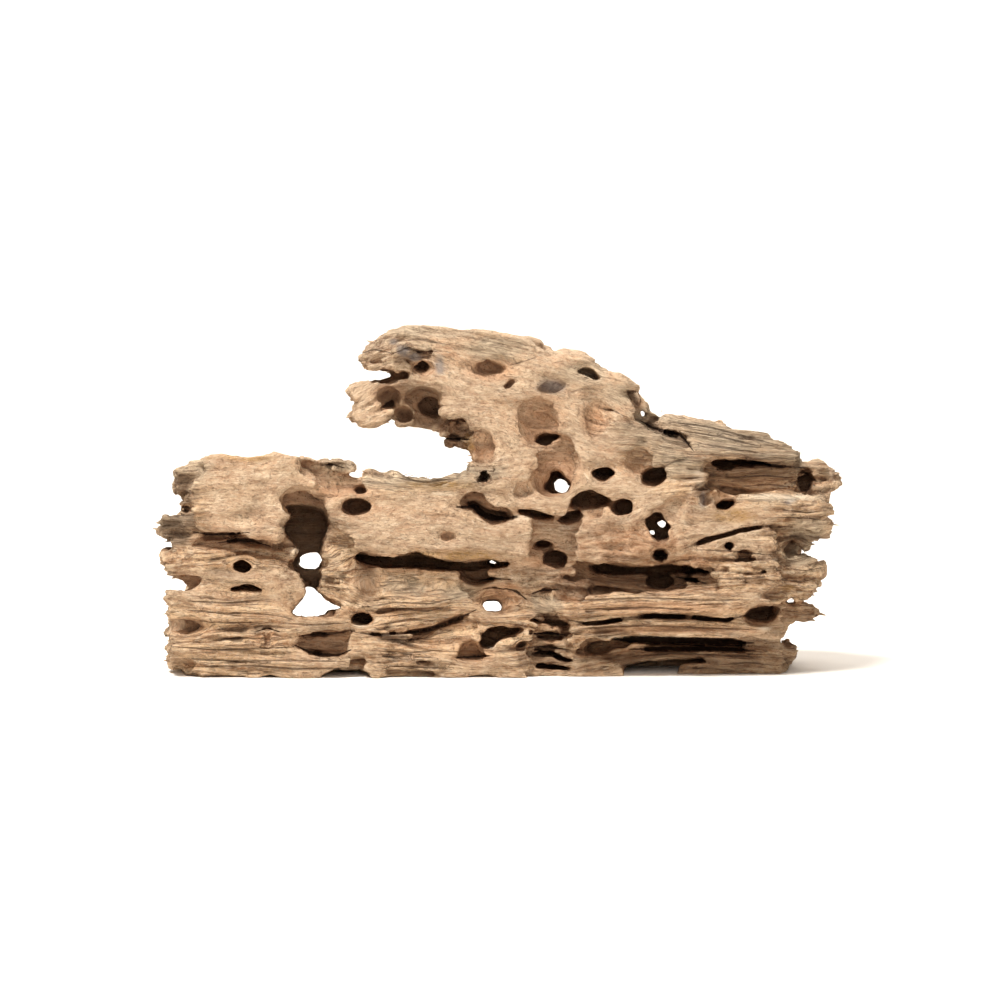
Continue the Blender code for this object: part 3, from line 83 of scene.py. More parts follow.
# Rays that find out how open a place is, with lengths in millimetres
RAYS = 12
RAY_START = 0.4
RAY_REACH = 30.0

# Wear of the block before it is cut
REAR_WEAR = 9.0 * MM
REAR_WEAR_STARTS = 12.0 * MM
REAR_WEAR_FULL = 70.0 * MM
WEAR_SIZE = 30.0 * MM
LUMP_HEIGHT = 1.5 * MM
LUMP_SIZE = 17.0 * MM
RIDGE_HEIGHT = 1.0 * MM
REAR_RIDGE_HEIGHT = 4.6 * MM
RIDGE_LENGTH = 60.0 * MM
RIDGE_DEPTH = 11.0 * MM
RIDGE_PITCH = 7.5 * MM

# Seed of the noise that makes the outlines of the hollows uneven
NOISE_SEED = 7

# Forms of the drawing, in its millimetres
LEDGE_STEP = 6.0
LEDGE_WOBBLE = 5.0
LEDGE_FRONT = 60.0
INNER_CROWN = (5.0, 4.0)
OUTLINE_STEP = 1.8
OUTLINE_WOBBLE = 0.75
CRACK_WOBBLE = 0.3
WORN_OPEN = 0.6
CRACK_STEP = 3.2
RIM_WEAR = 1.6
RIM_WIDTH = 2.0
RIM_REACH = 8.0
MIN_CRACK = 0.6
GROOVE = 0.55
GROOVE_CUT = 17.0
SEAM_REACH = 5
FAR_OFF = 9.0

# Heights of the relief, in millimetres
LARGE_DENT, DENT, SMALL_DENT = 1.2, 0.9, 0.75
THICK_LAYER, THIN_LAYER = 2.4, 1.2
BROKEN_END, BROKEN_SHEET, BARK = 1.7, 1.3, 1.7
LINE, THREAD, PIT, CHUNK, GROOVE_DEPTH = 1.0, 0.6, 0.45, 1.2, 1.2

# Splinters and loose fibres, in millimetres
SPLINTERS = 120
SHARD_SIDES = 5
SHARD_FLAT = 0.6
SPLINTER_LENGTH = (1.6, 3.8)
SPLINTER_RADIUS = (0.45, 1.0)
SPLINTER_ROOT = 0.7
HAIR_RADIUS = 0.22

# The studio, in metres, and the lens, in millimetres
FLOOR_GAP = 0.0002
FLOOR_FRONT = -4.0
FLOOR_HALF = 5.0
WALL_START = 1.6
WALL_CURVE = 1.0
WALL_STEPS = 12
WALL_TOP = 4.0
CAMERA_LENS = 144.0
SENSOR = 36.0
CAMERA_AIM = (-0.00475, 1.0, -0.0786)

SWIRLS = []
CRACKS = []


def place(u, w, depth):
    """Real position, in metres, of a point of the drawing."""
    scale = (EYE_DISTANCE + depth) / EYE_DISTANCE
    x = EYE_U + (u - EYE_U) * scale
    z = EYE_HEIGHT + (w - EYE_HEIGHT) * scale
    return Vector((x, depth, z)) * MM


def put_in_place(verts):
    for vert in verts:
        vert.co = place(vert.co.x, vert.co.z, vert.co.y)


def middle_of(outline):
    return tuple(sum(values) / len(outline) for values in zip(*outline))


def slab(bm, outline, front, back, lean=(0.0, 0.0), crown=(2.0, 1.1)):
    """Closed plate with a drawn outline. The front leans by mm per mm along u and w,
    and the crown is how far in from the edge, and how high, the two faces swell."""
    mid_u, mid_w = middle_of(outline)
    reach, rise = crown

    def front_depth(u, w):
        return front + lean[0] * (u - mid_u) + lean[1] * (w - mid_w)

    front_ring = [bm.verts.new((u, front_depth(u, w) + rise, w)) for u, w in outline]
    back_ring = [bm.verts.new((u, back - rise, w)) for u, w in outline]
    front_face = bm.faces.new(front_ring)
    back_face = bm.faces.new(list(reversed(back_ring)))
    for i in range(len(outline)):
        j = (i + 1) % len(outline)
        bm.faces.new((front_ring[j], front_ring[i], back_ring[i], back_ring[j]))
    for face, shift in ((front_face, -rise), (back_face, rise)):
        bmesh.ops.inset_region(bm, faces=[face], thickness=reach, use_even_offset=False)
        for vert in face.verts:
            vert.co.y += shift
    put_in_place(linked_verts(front_ring[0]))


def linked_verts(start):
    found = {start}
    edge_of_search = [start]
    while edge_of_search:
        vert = edge_of_search.pop()
        for edge in vert.link_edges:
            other = edge.other_vert(vert)
            if other not in found:
                found.add(other)
                edge_of_search.append(other)
    return found


def uneven(outline, amount):
    """The closed outline with points close together, each a little off its line."""
    points = []
    for (u, w), (next_u, next_w) in zip(outline, outline[1:] + outline[:1]):
        count = max(1, round(math.hypot(next_u - u, next_w - w) / OUTLINE_STEP))
        for i in range(count):
            share = i / count
            here = Vector((u + (next_u - u) * share, w + (next_w - w) * share, 0.0))
            off = noise.noise_vector(here / 3.4 + Vector((0.0, 0.0, 8.5)))
            points.append((here.x + off.x * amount, here.y + off.y * amount))
    return points


def well(bm, outline, far, near=IN_FRONT, drift=(0.0, 0.0), shrink=0.8, turns_grain=True):
    """Hollow with a drawn mouth: its floor is shrunk and drifts along u and w."""
    outline = uneven(outline, OUTLINE_WOBBLE if turns_grain else CRACK_WOBBLE)
    mid_u, mid_w = middle_of(outline)
    mouth = 0.0 if near < 0 else REAR_FACE
    half_u, half_w = ((max(values) - min(values)) / 2 for values in zip(*outline))
    if turns_grain:
        SWIRLS.append((mid_u, mid_w, half_u, half_w, near < 0))
    rings = []
    for depth, share in ((near, 0.0), (mouth, 0.0), (mouth + 0.6 * (far - mouth), 0.5), (far, 1.0)):
        scale = 1.0 + (shrink - 1.0) * share ** 2
        rings.append([
            bm.verts.new(place(mid_u + (u - mid_u) * scale + drift[0] * share,
                               mid_w + (w - mid_w) * scale + drift[1] * share, depth))
            for u, w in outline])
    bm.faces.new(rings[0])
    bm.faces.new(list(reversed(rings[-1])))
    for nearer, deeper in zip(rings, rings[1:]):
        for i in range(len(outline)):
            j = (i + 1) % len(outline)
            bm.faces.new((nearer[j], nearer[i], deeper[i], deeper[j]))


def oval(centre, radii, turn=0.0, sides=18):
    """Points of an ellipse in the drawing, turned by an angle in degrees."""
    cos_turn = math.cos(math.radians(turn))
    sin_turn = math.sin(math.radians(turn))
    points = []
    for i in range(sides):
        angle = 2.0 * math.pi * i / sides
        along = radii[0] * math.cos(angle)
        across = radii[1] * math.sin(angle)
        points.append((centre[0] + along * cos_turn - across * sin_turn,
                       centre[1] + along * sin_turn + across * cos_turn))
    return points


def bore(bm, centre, radii, far, near=IN_FRONT, drift=(0.0, 0.0), turn=0.0, shrink=0.7):
    """Oval worm or branch hole."""
    wide = (radii[0] + WORN_OPEN, radii[1] + WORN_OPEN)
    well(bm, oval(centre, wide, turn), far, near, drift, shrink)


def hole(bm, outline):
    """Hollow that goes right through the block."""
    well(bm, outline, far=BEHIND, shrink=1.0)


def scoop(bm, centre, radii, turn=0.0):
    """Ellipsoid hollow: centre and radii are along u, w and depth."""
    SWIRLS.append((centre[0], centre[1], radii[0], radii[1], centre[2] < 50))
    made = bmesh.ops.create_icosphere(bm, subdivisions=3, radius=1.0)
    stretch = Matrix.Diagonal((radii[0], radii[2], radii[1], 1.0))
    for vert in made["verts"]:
        vert.co *= 1.0 + 0.16 * noise.noise(vert.co * 1.7 + Vector((centre[0], centre[1], 2.5)))
    rotate = Matrix.Rotation(math.radians(-turn), 4, "Y")
    move = Matrix.Translation((centre[0], centre[2], centre[1]))
    bmesh.ops.transform(bm, matrix=move @ rotate @ stretch, verts=made["verts"])
    put_in_place(made["verts"])


def close_points(path):
    """The path with points one short step apart."""
    points = []
    for (u, w), (next_u, next_w) in zip(path, path[1:]):
        count = max(1, round(math.hypot(next_u - u, next_w - w) / CRACK_STEP))
        points += [(u + (next_u - u) * i / count, w + (next_w - w) * i / count) for i in range(count)]
    return points + [path[-1]]


def crack(bm, path, half, far, near=IN_FRONT, drift=(0.0, 0.0)):
    """Long slot that follows a path, wider and narrower, and runs out to a point at both ends."""
    path = close_points(path)
    CRACKS.append((path, half, far if near < 0 else REAR_FACE - far, near < 0))
    upper = [path[0]]
    lower = []
    for i, (before, here, after) in enumerate(zip(path, path[1:], path[2:])):
        along = Vector((after[0] - before[0], after[1] - before[1])).normalized()
        swell = 1.0 + 0.5 * noise.noise(Vector((here[0] / 7.0, here[1] / 5.0, 4.5)))
        wide = max(MIN_CRACK, half * swell * min(1.0, 0.55 + 0.2 * min(i, len(path) - 3 - i)))
        upper.append((here[0] - along.y * wide, here[1] + along.x * wide))
        lower.append((here[0] + along.y * wide, here[1] - along.x * wide))
    upper.append(path[-1])
    well(bm, upper + list(reversed(lower)), far, near, drift, 1.0, turns_grain=False)


def left_plates(bm):
    """Smooth upper plate, the broad ribbed face below it, and the broken fingers on the left."""
    slab(bm, [(-139, 101.5), (-143, 97), (-148, 91.5), (-150, 88), (-147, 84), (-148, 80), (-146, 74),
        (-143, 71.5), (-131, 70.5), (-122, 71.5), (-119, 69), (-114, 67), (-108, 65.5), (-104, 66.5),
        (-105, 75), (-100, 79), (-104, 82), (-104, 88.5), (-98, 91.5), (-90, 91.5), (-88, 95), (-94, 100.5),
        (-97, 104), (-94, 108), (-101, 108), (-109, 110), (-121, 108), (-134, 108), (-143, 105.5)],
        front=0.5, back=46, lean=(0.0, 0.04))
    slab(bm, [(-152, 58), (-149, 70), (-128, 74), (-106, 74), (-96, 66), (-99, 58)], front=16, back=40,
        lean=(0.0, 0.6))
    slab(bm, [(-146, 65.4), (-134, 67), (-122, 65.6), (-110, 62.6), (-112, 60.6), (-124, 62), (-140, 62.6)],
        front=11, back=30)
    slab(bm, [(-97, 107.5), (-92, 108), (-88, 105.5), (-79, 106.3), (-71, 104), (-69, 102.3), (-70, 100),
        (-74, 99), (-66, 97), (-61, 98), (-60, 91), (-66, 87), (-86, 87), (-94, 93), (-98, 100)],
        front=10.5, back=46, lean=(0.12, -0.2))
    slab(bm, [(-163, 61.6), (-152, 62.3), (-140, 62), (-124, 60.5), (-110, 60), (-103, 62), (-98, 64),
        (-97, 61), (-102, 56.5), (-105, 53), (-97.5, 50), (-95.5, 46), (-93, 42.3), (-96, 39), (-99.5, 36),
        (-101, 32.5), (-98, 30), (-84, 29.8), (-73, 33), (-62, 37), (-54, 30), (-54, 10),
        (-56, BELOW_FLOOR), (-147, BELOW_FLOOR), (-150, 1), (-153, 4.3), (-158, 5), (-160.5, 8.5),
        (-158, 11.5), (-160, 14.5), (-157, 17.5), (-161.5, 21), (-157, 24.5), (-162, 30.5), (-159, 34),
        (-161.5, 41.5), (-150, 42), (-144, 45.5), (-143, 49.5), (-151, 50.8), (-158, 50.5), (-164, 54.5),
        (-163, 58)], front=3.4, back=62, lean=(-0.015, 0.03))
    slab(bm, [(-120, 10.2), (-97, 9.4), (-74, 9.6), (-73, 6.8), (-97, 6.4), (-119, 7.2)], front=1.2,
        back=20)
    slab(bm, [(-117, 5.4), (-96, 4.8), (-76, 5.4), (-76, 2.6), (-96, 2.4), (-116, 2.8)], front=1.8, back=20)
    slab(bm, [(-152, 21.6), (-136, 22.4), (-119, 22), (-119, 19.4), (-136, 19.2), (-151, 19)], front=1.6,
        back=20)
    slab(bm, [(-158.5, 95), (-157, 98.5), (-154, 101.8), (-149, 103), (-149, 105), (-138, 106), (-136, 96),
        (-146, 87), (-152, 87), (-156, 89.5)], front=13, back=56)
    slab(bm, [(-155, 84), (-152, 88), (-144, 89), (-143, 76), (-152, 79)], front=7.5, back=44)
    slab(bm, [(-162, 79.5), (-151, 78.3), (-144, 79), (-141, 72), (-147, 66), (-155, 63.5), (-158, 66.5),
        (-164, 69), (-164.3, 74)], front=7.5, back=44)
    slab(bm, [(-158, 50.8), (-146, 52), (-138, 48), (-140, 43), (-149, 43.7), (-151, 45.5), (-157, 47.5)],
        front=15, back=50)


def middle_plates(bm):
    """The broad middle plate with its strip of grey wood on top, and the ribbed face under it."""
    slab(bm, [(-82.5, 80), (-82, 75.5), (-79.5, 72), (-74, 68.5), (-70.5, 63.5), (-69, 61.3), (-60, 60.8),
        (-52, 59.5), (-46, 60.3), (-40, 62.5), (-36, 60.3), (-30, 58), (-20, 56.6), (-8, 57.2), (8, 57.8),
        (14, 58.5), (15.5, 64), (17, 71), (15, 76), (15, 79), (8.5, 77.5), (6, 81), (8, 86), (6, 95),
        (-2, 99), (-12, 99), (-20, 97), (-28, 94), (-44, 91), (-62, 92), (-74, 89), (-83, 86)], front=0.5,
        back=50, lean=(0.0, 0.03), crown=(3.6, 2.6))
    slab(bm, [(-66, 97.2), (-62, 100), (-51, 100.3), (-45, 98), (-38, 96.8), (-28, 98.3), (-20, 100),
        (-8, 101.5), (0, 103), (0, 90), (-24, 86), (-60, 86), (-68, 90)], front=6.5, back=54,
        lean=(0.0, 0.35))
    slab(bm, [(-87, 42), (-86.5, 50), (-84, 57), (-86, 64), (-82.5, 73), (-74, 71), (-68.5, 62), (-68, 46),
        (-70, 38), (-76, 35.5)], front=6.0, back=46, crown=(3.6, 2.6))
    slab(bm, [(-75, 33), (-74, 37), (-71.5, 39), (-70, 56), (-58, 56.4), (-40, 55.6), (-20, 54), (-16, 44),
        (-10, 36), (0, 31), (16, 31), (20, 26), (15, 18), (14, 5), (13, BELOW_FLOOR), (-63, BELOW_FLOOR),
        (-66, 20), (-70, 30)], front=6.0, back=60, lean=(0.0, 0.09))
    slab(bm, [(-62, 9.4), (-44, 8.8), (-25, 9.2), (-26, 7), (-44, 6.6), (-62, 7.2)], front=2.2, back=24)
    slab(bm, [(-61, 5.8), (-43, 5.2), (-26, 5.2), (-27, 3), (-43, 2.8), (-60, 3.2)], front=2.6, back=24)
    slab(bm, [(-60, 36.4), (-46, 38.4), (-30, 38), (-22, 39.4), (-30, 35), (-46, 35.2), (-60, 33.6)],
        front=4.2, back=24)
    slab(bm, [(-24, 57.5), (15, 58), (30, 55), (30, 47), (44, 46.5), (44, 40), (36, 35), (20, 30),
        (-16, 30), (-26, 42)], front=11, back=60)
    slab(bm, [(12, 56), (14, 80), (30, 82), (38, 74), (40, 58), (36, 50)], front=12.0, back=60)


def arm_plates(bm):
    """Upper right face that runs up into the forked arm, and the grey slope behind it."""
    slab(bm, [(-73, 139), (-71, 143), (-65, 144.2), (-53, 143), (-46, 145.5), (-46, 149), (-63, 149),
        (-66, 152), (-66, 156), (-62, 161), (-57, 165.8), (-52, 169.3), (-44, 171.2), (-37, 172),
        (-28, 171.6), (-14, 170.4), (-4, 168.8), (0, 166.4), (14, 163.8), (20, 160.2), (25, 156.4),
        (32, 157.8), (38, 156), (44, 153.2), (49, 149.4), (58, 147), (68, 142.4), (68.5, 139.5),
        (61, 139.5), (61, 136), (66, 131), (66, 126), (72, 121), (79, 117), (88, 112), (94, 104), (102, 99),
        (100, 94), (92, 92), (82, 88), (72, 80), (62, 77), (50, 75), (40, 76), (28, 79), (14, 77), (6, 84),
        (2, 97), (-4, 103), (-3, 112), (-5, 119), (-13, 121), (-14, 126), (-20, 127), (-27, 126),
        (-30.5, 131), (-28, 134.5), (-31, 139), (-38, 141), (-46, 137), (-51, 132), (-50.5, 128.5),
        (-55, 125.5), (-61, 122.5), (-67, 122.5), (-71, 126.5), (-71, 129.5), (-67.5, 132), (-70, 135)],
        front=8.0, back=66, lean=(0.0, 0.13), crown=(3.2, 3.4))
    slab(bm, [(-52, 133), (-50, 128), (-48, 123.5), (-42, 122), (-30, 122.3), (-27, 120.3), (-26, 114.8),
        (-20, 114), (-16, 112.5), (-12, 109), (-14, 104.5), (-8, 100), (6, 104), (4, 130), (-10, 142),
        (-40, 144)], front=24, back=62)
    slab(bm, [(-51, 131), (-50, 127), (-47, 123), (-41, 122.5), (-41, 130), (-44, 133)], front=15, back=40)
    slab(bm, [(-46, 136), (-24, 136), (-24, 121.8), (-34, 121.4), (-44, 122)], front=39, back=62)
    slab(bm, oval((-46.4, 158.8), (3.6, 3)), front=6.4, back=20)
    slab(bm, [(-31, 119.2), (-27, 119.6), (-24, 122.8), (-18, 124.4), (-12, 123), (-13, 118.6),
        (-17.4, 117), (-22, 118.6), (-26, 117.4)], front=14, back=34)
    slab(bm, [(-28.4, 114.2), (-24, 115.8), (-19, 115), (-14, 117), (-11, 112), (-16, 111.4), (-21, 113.2)],
        front=18, back=36)
    slab(bm, [(-14.8, 116.6), (-13, 120.6), (-6, 121), (0, 114), (0, 101), (-9, 100.8), (-15.4, 103.6),
        (-12.6, 106.6), (-13, 109.6)], front=11, back=56)
    slab(bm, [(64, 122), (70, 128), (77, 128.3), (87, 127.2), (97, 127.2), (106, 125), (111, 122.5),
        (118, 120.6), (128, 118.5), (137, 115.2), (144, 112.5), (146.5, 108.5), (145, 105.5), (127, 105.6),
        (112, 106.3), (103, 107.5), (98, 104), (84, 106), (74, 112)], front=17, back=84, lean=(0.06, 1.15))
    slab(bm, [(62, 124), (60, 139), (66, 141), (70, 137), (72, 131.5), (71, 128.5), (78, 127.5), (80, 118)],
        front=24, back=70)


def right_plates(bm):
    """Lobes, lip and broken ends on the right."""
    slab(bm, [(98, 86), (100, 108), (128, 108), (150, 104.8), (157, 103), (162.5, 99.5), (164, 96.5),
        (164.5, 93.8), (160, 90), (158, 86), (130, 84)], front=23, back=62, lean=(0.08, 0.0))
    slab(bm, [(92, 90), (103, 91.5), (115, 89), (124, 89.3), (136, 91), (150, 88.8), (158, 88), (158.5, 85),
        (161, 81.8), (162.5, 79), (158, 77), (155, 74), (146, 74.6), (135, 75.2), (124, 74.6), (112, 72),
        (103, 69.4), (95, 66.8), (88, 62), (84, 65), (86, 74), (90, 82)], front=5.5, back=60,
        lean=(0.14, 0.05), crown=(4.4, 3.6))
    slab(bm, [(74, 80), (82, 89.6), (92, 93), (101, 92.4), (101, 80), (94, 67), (86, 65), (80, 70),
        (75, 76)], front=6.2, back=50)
    slab(bm, [(124, 45), (138, 47), (141, 43), (140, 39.8), (126, 39.6)], front=12, back=44)
    slab(bm, [(92, 43.4), (107.5, 42.8), (110, 48), (104, 53), (96, 53.8), (90, 50)], front=8.5, back=40)
    slab(bm, [(134, 76), (158, 76), (160.5, 74.5), (160, 70.3), (158, 68.7), (151, 68), (149, 66),
        (151.5, 64.5), (148, 62), (146, 58), (136, 57), (133, 66)], front=17, back=62, lean=(0.1, 0.0))
    slab(bm, [(132, 58), (149, 59.3), (156, 57), (156, 53.5), (154, 49), (151, 42.5), (148.5, 40),
        (144, 39.4), (134, 41.5)], front=14, back=58, lean=(0.2, 0.0))
    slab(bm, [(118, 34), (137, 37), (146.5, 37.3), (145.5, 36), (151, 35.7), (153.5, 32.3), (152, 30),
        (147, 28.7), (142, 29), (140, 24), (118, 24)], front=25, back=52)
    slab(bm, [(36, 70), (40, 74.5), (48, 76.5), (58, 76.5), (70, 79), (84, 76), (91, 66), (92, 60.5),
        (86, 56), (74, 55.6), (60, 56), (44, 56.4), (38, 56.2), (37, 62)], front=0.8, back=44,
        crown=(3.2, 2.4))
    slab(bm, [(90, 62), (96, 66.2), (104, 69), (113, 71.4), (124, 73), (133, 72.4), (134.5, 66),
        (137.3, 61.5), (137, 58.5), (135.8, 52), (135, 47), (130.5, 43.6), (126, 41.4), (116, 41.6),
        (107.5, 43), (107, 47.3), (103, 50.5), (97, 52.8), (86, 55), (84, 58)], front=2.4, back=48,
        lean=(0.05, 0.0), crown=(2.6, 1.6))
    slab(bm, [(34, 38), (44, 44), (60, 44), (80, 45), (98, 45.5), (107, 46), (110, 56), (84, 58), (42, 58)],
        front=20, back=60, lean=(0.0, 1.3))
    slab(bm, [(27, 36.4), (33, 35.6), (41, 39.6), (52, 41), (80, 42), (97, 43), (107, 43), (116, 41.2),
        (128, 40), (141, 38.6), (136, 36.4), (126, 33.6), (120, 31.7), (116.5, 30), (120, 27.3),
        (126, 25.8), (131, 25.3), (132, 23.6), (120, 20.8), (108, 19.5), (90, 19.3), (75, 20.3), (64, 20.7),
        (58, 18.7), (42, 17.6), (38, 14), (34, 18), (34.5, 26), (30, 31)], front=3.6, back=58,
        lean=(0.06, 0.02), crown=(2.6, 1.8))
    slab(bm, [(33, 35), (36, 30), (44, 28.8), (52, 29), (75, 32), (96, 31.2), (110, 30.2), (117, 31.6),
        (127, 34.6), (135, 37.6), (128, 39.6), (107, 42), (80, 41.2), (52, 40.2), (41, 38.6)], front=0.9,
        back=30, crown=(3.2, 2.4))
    slab(bm, [(34, 36), (36, 4), (60, 9), (100, 13), (120, 24), (139, 27), (136.5, 16.4), (145, 15.3),
        (147, 14), (143, 10.3), (139, 5.5), (136, 0), (134, BELOW_FLOOR), (14, BELOW_FLOOR), (12, 30)],
        front=25, back=84)
    slab(bm, [(36, 12), (40, 11), (60, 10.5), (58, 6), (62, 4), (56, BELOW_FLOOR), (16, BELOW_FLOOR),
        (12, 28), (30, 26)], front=9.0, back=40)
    slab(bm, [(86, 2), (88, 6.6), (93, 7.6), (100, 7), (106, 5), (106, BELOW_FLOOR), (84, BELOW_FLOOR)],
        front=18, back=40)


def ledge(bm, u_range, w_range, back, seed):
    """Long strip along the grain on the rear, with worn edges and narrow broken ends."""
    length = u_range[1] - u_range[0]
    middle = (w_range[0] + w_range[1]) / 2
    half = (w_range[1] - w_range[0]) / 2
    count = round(length / LEDGE_STEP)
    upper = []
    lower = []
    for i in range(count + 1):
        share = i / count
        u = u_range[0] + length * share
        fill = half * min(1.0, 0.3 + 5.0 * share * (1.0 - share))
        wobble = [noise.noise(Vector((u / 13.0, side, seed))) * LEDGE_WOBBLE for side in (0.3, 4.7)]
        upper.append((u, middle + fill + wobble[0]))
        lower.append((u, middle - max(1.5, fill + wobble[1])))
    slab(bm, upper + list(reversed(lower)), front=LEDGE_FRONT, back=back, crown=(1.6, 1.2))


def rear_plates(bm):
    """Body behind the front plates, and the ledges of the rear."""
    for u_range, w_range, back, seed in (
            ((-150, -92), (10, 27), 105, 1.5), ((-142, -64), (38, 49), 101, 2.5),
            ((-132, -84), (76, 92), 98, 3.5), ((-62, 34), (42, 53), 102, 4.5),
            ((-66, 20), (70, 86), 104, 5.5), ((-88, -6), (2, 17), 110, 6.5),
            ((42, 132), (16, 28), 106, 7.5), ((54, 142), (58, 71), 101, 8.5),
            ((34, 112), (84, 101), 100, 9.5), ((-52, 22), (134, 150), 84, 10.5),
            ((8, 74), (112, 124), 98, 11.5), ((96, 150), (82, 94), 99, 12.5),
            ((0, 48), (18, 30), 112, 13.5)):
        ledge(bm, u_range, w_range, back, seed)
    slab(bm, [(-149, BELOW_FLOOR), (-155, 10), (-152, 24), (-155, 36), (-148, 48), (-152, 60), (-155, 74),
        (-150, 97), (-138, 103), (-110, 106), (-92, 104), (-76, 97), (-60, 96), (-40, 92.5), (-20, 96),
        (-6, 103), (0, 118), (10, 130), (30, 146), (48, 144), (60, 138), (70, 121), (90, 120), (110, 116),
        (130, 110), (146, 103), (157, 92), (154, 80), (154, 69), (145, 62), (150, 52), (145, 42), (138, 34),
        (136, 20), (139, 8), (134, BELOW_FLOOR)], front=19, back=84)
    for front, back, outline in ((50, 98, [(-148, BELOW_FLOOR), (-153, 14), (-148, 34), (-154, 50),
            (-148, 62), (-136, 66), (-120, 60), (-104, 64), (-90, 70), (-84, 58), (-90, 42), (-80, 28),
            (-76, BELOW_FLOOR)]), (40, 90, [(-152, 70), (-154, 84), (-148, 96), (-130, 102), (-108, 104),
            (-90, 100), (-78, 92), (-84, 78), (-102, 70), (-122, 66), (-140, 64)]), (50, 105,
            [(-86, BELOW_FLOOR), (-82, 26), (-66, 36), (-40, 31), (-20, 39), (0, 35), (20, 30), (36, 34),
            (46, 24), (46, BELOW_FLOOR)]), (50, 96, [(-70, 44), (-72, 70), (-64, 88), (-40, 91), (-16, 94),
            (2, 100), (20, 96), (26, 78), (12, 62), (-6, 52), (-30, 48), (-52, 43)]), (50, 101,
            [(38, BELOW_FLOOR), (44, 22), (60, 36), (84, 41), (108, 35), (130, 36), (137, 28), (134, 16),
            (136, BELOW_FLOOR)]), (50, 94, [(30, 56), (34, 80), (30, 104), (42, 124), (58, 131), (78, 118),
            (104, 114), (128, 107), (146, 98), (153, 84), (150, 70), (136, 60), (116, 52), (88, 57),
            (60, 50)])):
        slab(bm, outline, front, back, crown=INNER_CROWN)
    slab(bm, [(-58, 130), (-60, 152), (-44, 163), (-16, 162), (10, 157), (30, 149), (46, 141), (38, 124),
        (20, 112), (2, 118), (-14, 128), (-36, 130)], front=40, back=76, crown=(5.0, 5.0))


